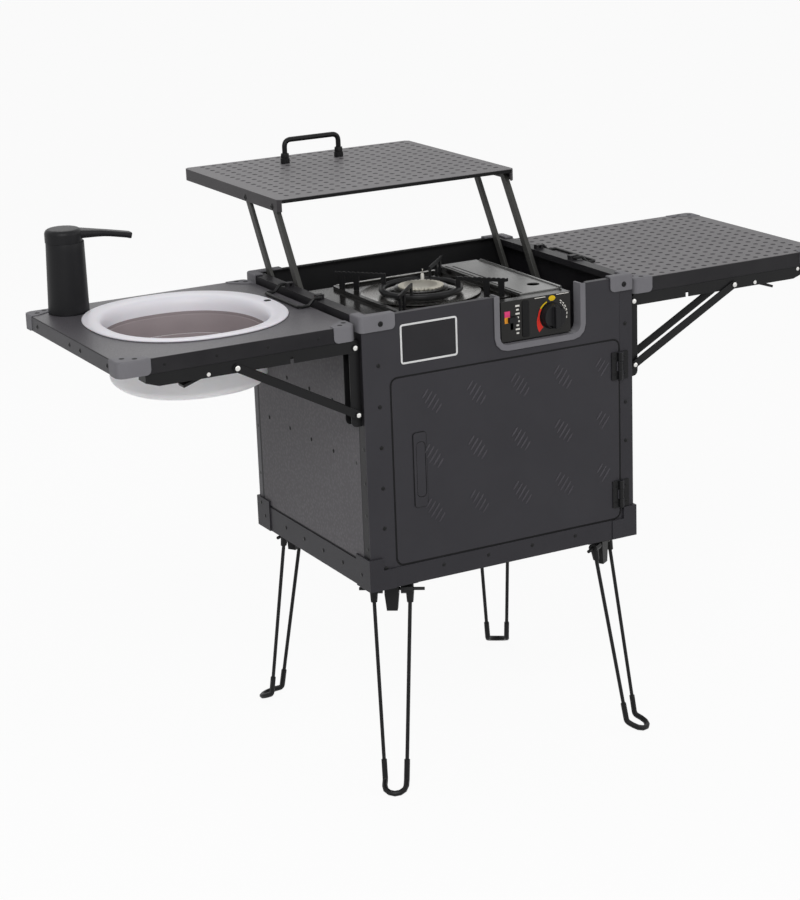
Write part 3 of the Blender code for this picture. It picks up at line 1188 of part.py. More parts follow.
def stove_body(finish, carrier):
    """The stove's sheet casing: low deck, raised cartridge bay with its cradles, control box and burner."""
    left_part = block((STOVE_LEFT, STOVE_BODY_FRONT, STOVE_BOTTOM), (STOVE_RIGHT, STOVE_REAR, STOVE_DECK))
    body = piece("stove_body", left_part, finish, carrier)
    partition = COVER_LEFT - STOVE_SKIN
    weld(body, block((partition, STOVE_BODY_FRONT, STOVE_DECK - OVERRUN),
                     (STOVE_RIGHT, STOVE_REAR, STOVE_BAY_TOP)))
    weld(body, block((STOVE_PANEL_LEFT, STOVE_PANEL_FRONT, STOVE_PANEL_BOTTOM),
                     (STOVE_RIGHT, STOVE_BODY_FRONT + OVERRUN, STOVE_BAY_TOP)))
    under = STOVE_BOTTOM - OVERRUN
    main_room = block((STOVE_LEFT + STOVE_SKIN, STOVE_BODY_FRONT + STOVE_SKIN, under),
                      (partition, STOVE_REAR - STOVE_SKIN, STOVE_DECK - STOVE_SKIN))
    bay_room = block((partition + STOVE_SKIN, STOVE_BODY_FRONT + STOVE_SKIN, under),
                     (STOVE_RIGHT - STOVE_SKIN, STOVE_REAR - STOVE_SKIN, STOVE_BAY_TOP - STOVE_SKIN))
    cut(body, main_room, bay_room)
    panel_low = (STOVE_PANEL_LEFT, STOVE_PANEL_FRONT, STOVE_PANEL_BOTTOM)
    panel_room = block([place + STOVE_SKIN for place in panel_low],
                       (STOVE_RIGHT - STOVE_SKIN, STOVE_BODY_FRONT + STOVE_SKIN + WELD,
                        STOVE_DECK - STOVE_SKIN))
    cut(body, panel_room)
    mouth = block((BAY_LEFT, BAY_FRONT, STOVE_BAY_TOP - STOVE_SKIN - OVERRUN),
                  (STOVE_RIGHT - STOVE_SKIN - BAY_LEDGE, BAY_REAR, STOVE_BAY_TOP + OVERRUN))
    spans = (STOVE_PANEL_FRONT - OVERRUN, STOVE_PANEL_FRONT + OVERRUN)
    slot_half = LEVER_SLOT_WIDTH / 2
    slot = block((LEVER_X - slot_half, spans[0], LEVER_Z - LEVER_TRAVEL - LEVER_STEM),
                 (LEVER_X + slot_half, spans[1], LEVER_Z + LEVER_STEM))
    shaft = KNOB_SHAFT + SEAT_GAP + SEAT_GAP
    hole = turned([(shaft, span) for span in spans], (KNOB_X, KNOB_Z), "y")
    cut(body, mouth, slot, hole)
    cradle_middle, cradle_axis = cartridge_axis()
    for place in CRADLE_PLACES:
        rib = block((partition + STOVE_SKIN - WELD, place, STOVE_BOTTOM),
                    (STOVE_RIGHT - STOVE_SKIN + WELD, place + CRADLE_SHEET, STOVE_BOTTOM + CRADLE_HEIGHT))
        weld(body, rib)
    saddle = CARTRIDGE_RADIUS + SEAT_GAP
    spans = (CRADLE_PLACES[0] - OVERRUN, CRADLE_PLACES[-1] + CRADLE_SHEET + OVERRUN)
    cut(body, turned([(saddle, span) for span in spans], (cradle_middle, cradle_axis), "y", WIDE_SIDES))
    root = STOVE_DECK - STOVE_SKIN / 2
    cap = BURNER_TOP - BURNER_CAP
    profile = [(BURNER_STEM, root), (BURNER_STEM, cap - STOVE_SKIN), (BURNER_RADIUS, cap),
               (BURNER_RADIUS, BURNER_TOP - STOVE_SKIN), (BURNER_RADIUS - BURNER_CAP, BURNER_TOP)]
    weld(body, turned(profile, (BURNER_X, BURNER_Y), "z", WIDE_SIDES))
    return body


def cartridge_axis():
    """The gas cartridge's axis, lying along Y in the bay."""
    middle = (COVER_LEFT + STOVE_RIGHT - STOVE_SKIN) / 2
    return middle, STOVE_BOTTOM + CARTRIDGE_FLOOR_GAP + CARTRIDGE_RADIUS


def gas_cartridge(finish, carrier):
    """The gas cartridge: a hollow can with a shoulder and, in front, a collar with the valve's bore."""
    front = CARTRIDGE_FRONT
    can = front + CARTRIDGE_COLLAR_LENGTH
    shoulder = can + CARTRIDGE_SHOULDER
    skin = CARTRIDGE_SKIN
    end = can + CARTRIDGE_LENGTH
    profile = [(CARTRIDGE_RADIUS - skin, end - skin), (CARTRIDGE_RADIUS - skin, shoulder + skin),
               (CARTRIDGE_COLLAR - skin, can + skin), (CARTRIDGE_VALVE, can), (CARTRIDGE_VALVE, front),
               (CARTRIDGE_COLLAR, front), (CARTRIDGE_COLLAR, can), (CARTRIDGE_RADIUS, shoulder),
               (CARTRIDGE_RADIUS, end)]
    hull = turned(profile, cartridge_axis(), "y", WIDE_SIDES)
    return piece("gas_cartridge", hull, finish, carrier, smooth=True)


def cartridge_cover(finish, carrier):
    """The bay's cover with its thumb hole and, on the long outer edge, a rolled hinge."""
    base = STOVE_BAY_TOP + SEAT_GAP
    low = (COVER_LEFT, BAY_FRONT - COVER_EDGE)
    high = (STOVE_RIGHT - COVER_HINGE_RADIUS, BAY_REAR + COVER_EDGE)
    cover = piece("cartridge_cover", block((*low, base), (*high, COVER_TOP)), finish, carrier)
    axis = (STOVE_RIGHT - COVER_HINGE_RADIUS, base + COVER_HINGE_RADIUS)
    weld(cover, turned([(COVER_HINGE_RADIUS, low[1]), (COVER_HINGE_RADIUS, high[1])], axis, "y"))
    thumb = (COVER_LEFT, low[1] + THUMB_IN)
    cut(cover, turned([(THUMB_RADIUS, base - OVERRUN), (THUMB_RADIUS, COVER_TOP + OVERRUN)], thumb, "z"))
    return cover


def drip_tray(finish, carrier):
    """The bright drip tray round the burner: a dish with a raised edge and a round hole."""
    base = STOVE_DECK + SEAT_GAP
    low = (BURNER_X - TRAY_HALF_X, BURNER_Y - TRAY_HALF_Y)
    high = (BURNER_X + TRAY_HALF_X, BURNER_Y + TRAY_HALF_Y)
    outline = rounded(low, high, TRAY_RIM_WIDTH)
    dish = piece("drip_tray", prism(outline, "z", base, base + TRAY_RIM_HEIGHT), finish, carrier)
    inner_low = (low[0] + TRAY_RIM_WIDTH, low[1] + TRAY_RIM_WIDTH)
    inner_high = (high[0] - TRAY_RIM_WIDTH, high[1] - TRAY_RIM_WIDTH)
    inner = rounded(inner_low, inner_high, TRAY_RIM_WIDTH)
    cut(dish, prism(inner, "z", base + TRAY_DISH_SHEET, base + TRAY_RIM_HEIGHT + OVERRUN))
    cut(dish, turned([(TRAY_HOLE, base - OVERRUN), (TRAY_HOLE, base + TRAY_RIM_HEIGHT + OVERRUN)],
                     (BURNER_X, BURNER_Y), "z", WIDE_SIDES))
    return dish


def prong_outline():
    """A pan support's prong in (distance from the burner's middle, height): toothed on top, footed below."""
    base = STOVE_DECK + SEAT_GAP + TRAY_DISH_SHEET + SEAT_GAP
    tip = math.hypot(PRONG_HALF_X, PRONG_HALF_Y)
    foot = RING_OUTER + PRONG_FOOT
    heel = RING_OUTER - RING_WIDTH
    outline = [(PRONG_INNER, BURNER_TOP + OVERRUN), (PRONG_INNER, TRIVET_TOP)]
    pitch = (tip - PRONG_INNER) / (2 * PRONG_TEETH + 1)
    for tooth in range(PRONG_TEETH):
        start = PRONG_INNER + pitch * (2 * tooth + 1)
        outline += [(start, TRIVET_TOP), (start, TRIVET_TOP - PRONG_TOOTH),
                    (start + pitch, TRIVET_TOP - PRONG_TOOTH), (start + pitch, TRIVET_TOP)]
    outline += [(tip, TRIVET_TOP), (tip, TRIVET_TOP - PRONG_TIP_HEIGHT), (foot, base + RING_THICK),
                (foot, base), (heel, base), (heel, BURNER_TOP + OVERRUN)]
    return outline


def trivet(finish, carrier):
    """The pan support: a flat ring on the drip tray and four toothed prongs towards the corners."""
    base = STOVE_DECK + SEAT_GAP + TRAY_DISH_SHEET + SEAT_GAP
    rings = []
    for radius, height in ((RING_OUTER, base), (RING_OUTER, base + RING_THICK),
                           (RING_OUTER - RING_WIDTH, base + RING_THICK), (RING_OUTER - RING_WIDTH, base)):
        rings.append([Vector((BURNER_X + a, BURNER_Y + b, height)) for a, b in circle(radius, WIDE_SIDES)])
    support = piece("trivet", lofted(rings, closed=True), finish, carrier)
    half = PRONG_SHEET / 2
    lean = math.atan2(PRONG_HALF_Y, PRONG_HALF_X)
    prongs = []
    for angle in (lean, math.pi - lean, math.pi + lean, -lean):
        place = Matrix.Translation((BURNER_X, BURNER_Y, 0.0)) @ Matrix.Rotation(angle, 4, "Z")
        prongs.append(moved(prism(prong_outline(), "y", -half, half), place))
    weld(support, *prongs)
    return support


def knob(finish, carrier):
    """The gas knob with its grip bar and its shaft through the panel."""
    back = STOVE_PANEL_FRONT - SEAT_GAP
    front = back - KNOB_DEPTH
    profile = [(KNOB_SHAFT, STOVE_PANEL_FRONT + STOVE_SKIN), (KNOB_SHAFT, back), (KNOB_RADIUS, back),
               (KNOB_RADIUS - STOVE_SKIN, front)]
    dial = piece("gas_knob", turned(profile, (KNOB_X, KNOB_Z), "y", WIDE_SIDES), finish, carrier, smooth=True)
    half = KNOB_GRIP_WIDTH / 2
    reach = KNOB_RADIUS - 2 * STOVE_SKIN
    weld(dial, block((KNOB_X - half, front + WELD, KNOB_Z - reach),
                     (KNOB_X + half, front - KNOB_GRIP_PROUD, KNOB_Z + reach)))
    return dial


def cartridge_lever(finish, carrier):
    """The lever that locks the cartridge: a tab in front of the panel on a stem through its slot."""
    back = STOVE_PANEL_FRONT - SEAT_GAP
    half = LEVER_TAB_WIDTH / 2
    tall = LEVER_TAB_HEIGHT / 2
    tab = block((LEVER_X - half, back, LEVER_Z - tall),
                (LEVER_X + half, back - LEVER_TAB_DEPTH, LEVER_Z + tall))
    lever = piece("cartridge_lever", tab, finish, carrier)
    stem = LEVER_STEM / 2
    weld(lever, block((LEVER_X - stem, back - WELD, LEVER_Z - stem),
                      (LEVER_X + stem, STOVE_PANEL_FRONT + 2 * STOVE_SKIN, LEVER_Z + stem)))
    return lever


def stand_on_floor(corner):
    """Put the world origin on the floor, under the middle of the opened object."""
    bpy.context.view_layer.update()
    solids = [made for made in bpy.data.objects if made.type == "MESH" and not made.hide_render]
    points = [made.matrix_world @ vertex.co for made in solids for vertex in made.data.vertices]
    low = [min(point[axis] for point in points) for axis in range(3)]
    high = [max(point[axis] for point in points) for axis in range(3)]
    corner.location = -Vector(((low[0] + high[0]) / 2, (low[1] + high[1]) / 2, low[2]))


def main():
    for leftover in list(bpy.data.objects):
        bpy.data.objects.remove(leftover, do_unlink=True)

    charcoal = look("charcoal powder-coated aluminium", (0.040, 0.038, 0.044), 0.55, 0.30)
    wing_paint = look("dark powder-coated aluminium", (0.030, 0.030, 0.032), 0.50, 0.30)
    grey_nylon = look("grey moulded nylon", (0.250, 0.250, 0.265), 0.60, 0.0)
    black_steel = look("black powder-coated steel", (0.012, 0.012, 0.012), 0.45, 0.20)
    black_plastic = look("black moulded plastic", (0.018, 0.018, 0.019), 0.50, 0.0)
    basin_white = look("white silicone and polypropylene", (0.780, 0.760, 0.810), 0.45, 0.0)
    enamel = look("black stove enamel", (0.020, 0.021, 0.018), 0.30, 0.10)
    bright = look("bright steel sheet", (0.400, 0.400, 0.400), 0.30, 1.0)
    can_steel = look("painted tin can", (0.300, 0.310, 0.330), 0.35, 0.60)

    corner = anchor("cabinet_corner", ORIGIN)
    base_tray(charcoal, corner)
    rear_panel(charcoal, corner)
    front_panel(charcoal, corner)
    shelf("stove_shelf", STOVE_SHELF_TOP, STOVE_SHELF_FLANGE, charcoal, corner)
    shelf("storage_shelf", STORE_SHELF_TOP, STORE_SHELF_FLANGE, charcoal, corner)
    notch_trim(grey_nylon, corner)

    axis_x, axis_y = hinge_centre()
    door_axis = anchor("door_axis", (axis_x, axis_y, DOOR_BOTTOM), corner)
    door(charcoal, door_axis)
    door_pull(black_plastic, door_axis)

    rear_arm_axis = anchor("lid_arm_rear_axis", (BOX_WIDTH / 2, ARM_FOOT_Y + ARM_SPACING, ARM_FOOT_Z), corner)
    front_arm_axis = anchor("lid_arm_front_axis", (BOX_WIDTH / 2, ARM_FOOT_Y, ARM_FOOT_Z), corner)
    lid_axis = anchor("lid_axis", (BOX_WIDTH / 2, ARM_HEAD_Y + ARM_SPACING, ARM_HEAD_Z), rear_arm_axis)
    lid_panel(wing_paint, lid_axis)
    lid_handle(black_steel, lid_axis)

    basin_middle = (BASIN_X, BASIN_Y, WING_TOP)
    tap_foot = (TAP_X, TAP_Y, WING_TOP)
    for side in SIDES:
        side_panel(side, charcoal, corner)
        lid_arm(side, "rear", black_steel, rear_arm_axis)
        lid_arm(side, "front", black_steel, front_arm_axis)
        fold = (side_x(side, -FOLD_OUT), WING_FRONT + WING_DEPTH / 2, FOLD_HEIGHT)
        wing_axis = anchor(f"wing_axis_{side}", fold, corner)
        brace_axis = anchor(f"brace_axis_{side}", (fold[0], fold[1], FOOT_PIVOT_HEIGHT), corner)
        bail_axis = anchor(f"bail_axis_{side}", (side_x(side, BAIL_PIVOT_IN), BAIL_FRONT + BAIL_LENGTH / 2,
                                                 BOX_HEIGHT + BAIL_PIVOT_RISE), corner)
        wing(side, wing_paint, wing_axis)
        bail(side, black_steel, bail_axis)
        if side == "left":
            sleeve_slide = anchor("basin_sleeve_slide", basin_middle, wing_axis)
            pan_slide = anchor("basin_pan_slide", basin_middle, wing_axis)
            basin(basin_white, wing_axis, sleeve_slide, pan_slide)
            tap_lift = anchor("tap_lift", tap_foot, wing_axis)
            spout_axis = anchor("spout_axis", tap_foot, tap_lift)
            tap(black_plastic, tap_lift, spout_axis)
        for end in ENDS:
            corner_block(side, end, grey_nylon, corner)
            leg_bracket(side, end, black_steel, corner)
            leg_middle, _, _ = leg_frame(side, end)
            leg(side, end, black_steel, anchor(f"leg_axis_{end}_{side}", leg_middle, corner))
            wall_channel(side, end, black_steel, corner)
            wing_beam(side, end, black_steel, wing_axis)
            brace(side, end, black_steel, brace_axis)
            pivot_x, pivot_z = beam_at(side, CATCH_OUT, CATCH_DOWN)
            catch_axis = anchor(f"catch_axis_{end}_{side}",
                                (pivot_x, wing_y(end, (BEAM_FRONT + BEAM_REAR) / 2), pivot_z), wing_axis)
            catch_lever(side, end, black_steel, catch_axis)

    stove_lift = anchor("stove_lift", (BURNER_X, BURNER_Y, STOVE_BOTTOM), corner)
    stove_body(enamel, stove_lift)
    drip_tray(bright, stove_lift)
    trivet(enamel, anchor("trivet_lift", (BURNER_X, BURNER_Y, STOVE_DECK), stove_lift))
    cover_axis = (STOVE_RIGHT - COVER_HINGE_RADIUS, (BAY_FRONT + BAY_REAR) / 2,
                  STOVE_BAY_TOP + SEAT_GAP + COVER_HINGE_RADIUS)
    cartridge_cover(enamel, anchor("cover_axis", cover_axis, stove_lift))
    knob(black_plastic, anchor("knob_axis", (KNOB_X, STOVE_PANEL_FRONT, KNOB_Z), stove_lift))
    cartridge_lever(black_plastic, anchor("lever_slide", (LEVER_X, STOVE_PANEL_FRONT, LEVER_Z), stove_lift))
    can_x, can_z = cartridge_axis()
    gas_cartridge(can_steel, anchor("cartridge_slide", (can_x, CARTRIDGE_FRONT, can_z), stove_lift))

    stand_on_floor(corner)


main()
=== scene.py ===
"""The looks of a camping chuck box: its finishes and its fine pieces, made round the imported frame.

Lengths are in metres and angles in degrees. Pieces are made in box coordinates: the origin is the cabinet's
front left bottom corner, +X runs to the right, +Y to the rear and +Z up. CORNER moves them into the frame.
"""
import math
from collections import namedtuple

import bmesh
import bpy
from mathutils import Matrix, Vector


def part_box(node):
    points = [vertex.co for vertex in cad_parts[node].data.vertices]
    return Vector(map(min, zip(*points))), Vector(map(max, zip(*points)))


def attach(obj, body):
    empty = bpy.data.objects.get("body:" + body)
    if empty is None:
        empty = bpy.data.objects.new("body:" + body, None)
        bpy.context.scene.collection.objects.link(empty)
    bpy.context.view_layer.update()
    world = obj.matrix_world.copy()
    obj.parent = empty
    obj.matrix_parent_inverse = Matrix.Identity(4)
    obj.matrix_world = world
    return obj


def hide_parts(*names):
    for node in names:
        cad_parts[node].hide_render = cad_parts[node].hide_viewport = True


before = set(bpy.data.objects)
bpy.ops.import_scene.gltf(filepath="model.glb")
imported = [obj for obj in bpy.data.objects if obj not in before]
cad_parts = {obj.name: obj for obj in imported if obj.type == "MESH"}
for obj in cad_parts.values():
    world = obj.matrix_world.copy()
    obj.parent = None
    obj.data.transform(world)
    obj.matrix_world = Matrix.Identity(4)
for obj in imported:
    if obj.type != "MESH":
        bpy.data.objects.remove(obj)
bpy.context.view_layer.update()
scene = bpy.context.scene

# Sheet and gap sizes that the frame's solids share
SHEET = 0.0020
SEAT_GAP = 0.0003
FLOOR_SHEET = 0.0025

# The least steps between a face and what lies on it: a thin film, a small piece, a flush head
FILM = 0.00005
HAIR = 0.0001
FLUSH_RISE = 0.0002

# The cabinet's corner and size, read from the frame
REAR_LOW, REAR_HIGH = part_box("rear_panel")
WALL_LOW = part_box("left_panel")[0]
CORNER = Vector((REAR_LOW.x, WALL_LOW.y - SHEET - SEAT_GAP, REAR_LOW.z - FLOOR_SHEET - SEAT_GAP))
BOX_WIDTH, BOX_DEPTH, BOX_HEIGHT = REAR_HIGH - CORNER

# The sides and ends, with the way outward along X or Y
SIDES = {"left": -1, "right": 1}
ENDS = {"front": -1, "rear": 1}

# Camera, fitted to the photograph: its place in box coordinates, its angles and its focal length in pixels
CAMERA_PLACE = Vector((-1.5131, -2.9523, 1.2266))
CAMERA_AZIMUTH = 27.997
CAMERA_ELEVATION = 16.873
CAMERA_ROLL = -2.109
FOCAL_PIXELS = 2357.7
IMAGE_HEIGHT = 900
SENSOR = 36.0


# Places

def span(node):
    """The lowest and highest corner of a frame node, in box coordinates."""
    low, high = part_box(node)
    return low - CORNER, high - CORNER


def side_x(side, inward):
    """A distance inward from the left or right outer wall, as x."""
    return inward if side == "left" else BOX_WIDTH - inward


WING_LOW, WING_HIGH = span("wing_left")
WING_MIDDLE = (WING_LOW.y + WING_HIGH.y) / 2


def wing_y(end, inward):
    """A place on the wing's front half, or mirrored on its rear half, as y."""
    return inward if end == "front" else 2 * WING_MIDDLE - inward


def row(start, pitch, count):
    """Evenly spaced places."""
    return [start + pitch * step for step in range(count)]


# Materials

def linear(code):
    """An sRGB hex colour as linear RGBA."""
    shares = [int(code[start:start + 2], 16) / 255 for start in (1, 3, 5)]
    return (*(s / 12.92 if s <= 0.04045 else ((s + 0.055) / 1.055) ** 2.4 for s in shares), 1.0)


def per(millimetres):
    """The texture scale of a pattern whose grains are this many millimetres apart."""
    return 1000 / millimetres


def add(material, kind, inputs=(), **fields):
    """Adds a node to a material with its fields set and its inputs set or linked."""
    node = material.node_tree.nodes.new("ShaderNode" + kind)
    for name, value in fields.items():
        setattr(node, name, value)
    for name, value in dict(inputs).items():
        if isinstance(value, bpy.types.NodeSocket):
            material.node_tree.links.new(value, node.inputs[name])
        else:
            node.inputs[name].default_value = value
    return node


Finish = namedtuple("Finish", "material slot")


def started(name):
    """A new material with an empty node tree, and the coordinates that its patterns use."""
    material = bpy.data.materials.new(name)
    material.use_nodes = True
    material.node_tree.nodes.clear()
    return material, add(material, "TexCoord").outputs["Object"]


def ended(material, inputs, slot):
    """Adds the shader, links it to the output and names the record's slot that the material stands for."""
    add(material, "OutputMaterial", {"Surface": add(material, "BsdfPrincipled", inputs).outputs[0]})
    return Finish(material, slot)


# The values that a noise mostly lies between
NOISE_RANGE = {"From Min": 0.3, "From Max": 0.7}
# Wear starts where the two normals match by less than the first share and is full at the second
WEAR_RANGE = {"From Min": 0.97, "From Max": 0.80}
WEAR_RADIUS = 0.0012
WEAR_SHARE = 0.45


def rubbed(material, colour, bare, spots):
    """Mixes a bare colour in where edges are rubbed, found by comparing a rounded normal with the true one."""
    round_normal = add(material, "Bevel", {"Radius": WEAR_RADIUS}, samples=4).outputs["Normal"]
    true_normal = add(material, "NewGeometry").outputs["Normal"]
    match = add(material, "VectorMath", {0: round_normal, 1: true_normal}, operation="DOT_PRODUCT")
    edge = add(material, "MapRange", {"Value": match.outputs["Value"], **WEAR_RANGE, "To Max": WEAR_SHARE})
    broken = add(material, "Math", {0: edge.outputs[0], 1: spots}, operation="MULTIPLY")
    return add(material, "Mix", {0: broken.outputs[0], 6: colour, 7: linear(bare)}, data_type="RGBA").outputs[2]


COAT_SHINE = 0.18
GLOSS_SPREAD = 0.05
STEEL_SPREAD = 0.08
DRIFT_PATCH = 70.0


def coated(name, slot, base, shade, grain, depth, roughness, bare=None, **sockets):
    """A coat or moulding: a colour that drifts between two shades, a fine grain, and edges that may be rubbed."""
    material, place = started(name)
    drift = add(material, "TexNoise", {"Vector": place, "Scale": per(DRIFT_PATCH), "Detail": 4.0}).outputs["Fac"]
    fine = add(material, "TexNoise", {"Vector": place, "Scale": per(grain), "Detail": 2.0}).outputs["Fac"]
    spread = add(material, "MapRange", {"Value": drift, **NOISE_RANGE}).outputs[0]
    colour = add(material, "Mix", {0: spread, 6: linear(base), 7: linear(shade)}, data_type="RGBA").outputs[2]
    if bare:
        colour = rubbed(material, colour, bare, spread)
    gloss = add(material, "MapRange", {"Value": fine, **NOISE_RANGE, "To Min": roughness - GLOSS_SPREAD,
                                       "To Max": roughness + GLOSS_SPREAD})
    relief = add(material, "Bump", {"Height": fine, "Distance": depth, "Strength": 1.0}).outputs[0]
    return ended(material, {"Specular IOR Level": COAT_SHINE, "Base Color": colour, "Roughness": gloss.outputs[0],
                            "Normal": relief, **sockets}, slot)


def stucco_sheet():
    """Stucco-embossed aluminium, painted: a pebbled relief of flat islands 5 mm apart that catches soft light, drawn
    darker between the islands as painted shade.
    """
    material, place = started("stucco_painted_aluminium")
    warp = add(material, "TexNoise", {"Vector": place, "Scale": per(9.0), "Detail": 2.0}).outputs["Color"]
    bent = add(material, "Mix", {0: 0.004, 4: place, 5: warp}, data_type="VECTOR").outputs[1]
    cells = add(material, "TexVoronoi", {"Vector": bent, "Scale": per(5.0), "Smoothness": 0.35},
                feature="SMOOTH_F1").outputs["Distance"]
    pebble = add(material, "MapRange", {"Value": cells, "From Min": 0.15, "From Max": 0.6}).outputs[0]
    drift = add(material, "TexNoise", {"Vector": place, "Scale": per(60.0), "Detail": 4.0}).outputs["Fac"]
    tone = add(material, "Mix", {0: drift, 6: linear("#5b595c"), 7: linear("#646265")}, data_type="RGBA").outputs[2]
    # Painted shade: the low ground between the pebbles takes a darker colour
    colour = add(material, "Mix", {0: pebble, 6: tone, 7: linear("#545255")}, data_type="RGBA").outputs[2]
    relief = add(material, "Bump", {"Height": pebble, "Distance": 0.00015, "Strength": 0.4}, invert=True)
    return ended(material, {"Base Color": colour, "Roughness": 0.55, "Specular IOR Level": COAT_SHINE,
                            "Normal": relief.outputs[0]}, "panel_charcoal")


def brushed_steel(name, slot, base, shade, roughness, stretch):
    """Bright steel sheet: fine rolling lines a tenth of a millimetre wide, drawn coarser so that they show."""
    material, place = started(name)
    lines = add(material, "Mapping", {"Vector": place, "Scale": stretch}).outputs[0]
    streak = add(material, "TexNoise", {"Vector": lines, "Scale": per(1.2), "Detail": 3.0}).outputs["Fac"]
    stain = add(material, "TexNoise", {"Vector": place, "Scale": per(40.0), "Detail": 4.0}).outputs["Fac"]
    colour = add(material, "Mix", {0: stain, 6: linear(base), 7: linear(shade)}, data_type="RGBA").outputs[2]
    gloss = add(material, "MapRange", {"Value": streak, **NOISE_RANGE, "To Min": roughness - STEEL_SPREAD,
                                       "To Max": roughness + STEEL_SPREAD})
    relief = add(material, "Bump", {"Height": streak, "Distance": 0.00003, "Strength": 1.0}).outputs[0]
    return ended(material, {"Base Color": colour, "Metallic": 1.0, "Roughness": gloss.outputs[0],
                            "Normal": relief}, slot)


# Powder-coated aluminium: a satin coat with a faint orange peel, its 1.6 mm grains drawn coarser than life
CHARCOAL = coated("powder_coated_aluminium", "panel_charcoal", "#302f33", "#333236", 1.6, 0.00003, 0.46, "#5c5a5e")
# The same coat on the tread bars, drawn a little lighter as a painted highlight on their raised tops; their edges
# rubbed
TREAD_HIGHLIGHT = coated("powder_coat_painted_highlight", "panel_charcoal", "#3d3b40", "#454348", 1.6, 0.00003, 0.5, "#6c6a6e")
# The same coat, darker, on the base tray, and on the post strip beside the door, where the darker tone is painted
# shade at the corner
POST_COAT = coated("powder_coated_post", "panel_charcoal", "#2c2b2f", "#302f33", 1.6, 0.00003, 0.46, "#525054")
# The same coat, lighter and scuffed, on the side rails and the wings' outer edges
TRAY_COAT = coated("powder_coated_tray", "panel_charcoal", "#424144", "#49484b", 1.6, 0.00003, 0.5, "#68666a")
# Black powder coat inside the box: matt, it swallows the light
INNER_COAT = coated("matt_black_powder_coat", "panel_charcoal", "#131314", "#171718", 1.6, 0.00003, 0.6)
# The darker coat on the wings and the side walls' edges; where it shows between the walls' sheets and strips, its
# near-black is a painted shadow gap
WING_COAT = coated("powder_coated_wing", "wing_charcoal", "#18171a", "#232224", 1.6, 0.00003, 0.44, "#444246")
# Coated sheet that faces up and shows the studio light: smooth, dark grey, a soft sheen; its grey, lighter than the
# wings' coat, is painted light on the wing's top
WING_SHEET = coated("matt_coated_sheet", "wing_charcoal", "#4a484c", "#4f4d51", 1.8, 0.00002, 0.40, "#6b696d",
                    **{"Specular IOR Level": 0.3})
# Anodised dimpled aluminium: a pale warm grey sheet with a dull satin
DIMPLED = coated("anodised_aluminium", "wing_charcoal", "#6e6c6e", "#686668", 1.4, 0.00002, 0.48, "#848284")
# The floor of each dimple, drawn darker as painted shade
DIMPLE_SHADE = coated("anodised_dimple_painted_shade", "wing_charcoal", "#2f2d30", "#2a282b", 1.4, 0.00002, 0.6)
# Lid flanges in the same alloy, seen edge on, drawn darker than the top as painted shade
LID_FLANGE = coated("anodised_aluminium_painted_shade", "wing_charcoal", "#3c3a3c", "#424042", 1.4, 0.00002, 0.5, "#6d6a6c")
# Glass-filled nylon: matt moulded grey with a spark-eroded grain
NYLON = coated("moulded_nylon", "nylon_grey", "#6a696d", "#706f73", 1.2, 0.00004, 0.58, "#7f7e82")
# Black coated steel for rods, brackets and bars
BLACK_STEEL = coated("black_coated_steel", "steel_black", "#131314", "#171718", 1.4, 0.00003, 0.42, "#2e2e2f")
# Blackened rivet heads: glossy, with a small highlight each
RIVET_BLACK = coated("blackened_rivet_steel", "steel_black", "#0b0b0c", "#101011", 1.0, 0.00001, 0.34,
                     **{"Specular IOR Level": 0.2})
# Grey coated steel of the lid's arms
ARM_GREY = coated("grey_coated_steel", "steel_black", "#3a3a38", "#40403e", 1.4, 0.00003, 0.45, "#565654")
# ABS: matt moulded black with a fine leather-like grain
ABS_BLACK = coated("moulded_abs", "plastic_black", "#161618", "#1b1b1d", 1.1, 0.00003, 0.45)
# Extruded rubber, dull and almost black, on the lever guard and the lid's hem; the same near-black is painted shade
# in the door's seam, round the pull, and in holes and grooves
RUBBER_AND_SHADE = coated("rubber_and_painted_shade", "plastic_black", "#0e0e0f", "#131314", 1.5, 0.00003, 0.7)
# Enamelled steel: glossy black that mirrors the studio
ENAMEL = coated("black_enamelled_steel", "stove_enamel", "#151413", "#1b1a19", 3.0, 0.00002, 0.2,
                **{"Specular IOR Level": 0.26})
# White polypropylene: smooth, slightly lavender in this light, light passes a little way in
BASIN_WHITE = coated("moulded_polypropylene", "basin_white", "#e4e2e8", "#e8e6ec", 2.0, 0.00001, 0.36,
                     **{"Subsurface Weight": 0.05, "Subsurface Scale": 0.004})
# The same plastic in the hanging pan, light passing further in, and drawn brighter than the rim as painted light
# against the shade under the wing
PAN_PAINTED_LIGHT = coated("polypropylene_painted_light", "basin_white", "#faf9fc", "#fdfcfe", 2.0, 0.00001, 0.36,
                   **{"Subsurface Weight": 0.08, "Subsurface Scale": 0.006})
# Taupe silicone rubber of the folding band and the basin's floor
SILICONE = coated("moulded_silicone", "basin_white", "#8f8587", "#978d8f", 2.2, 0.00004, 0.55)
# The lighter strip at the side walls' rear edge, in a plain satin coat
STRIP_GREY = coated("grey_coated_strip", "panel_charcoal", "#5c5b5e", "#636265", 1.6, 0.00003, 0.5)
# Zinc-plated rivet heads, nearly white in the studio light
ZINC = coated("zinc_plated_steel", "tray_steel", "#e6e5e2", "#d2d1ce", 0.9, 0.00002, 0.34, **{"Metallic": 0.6})
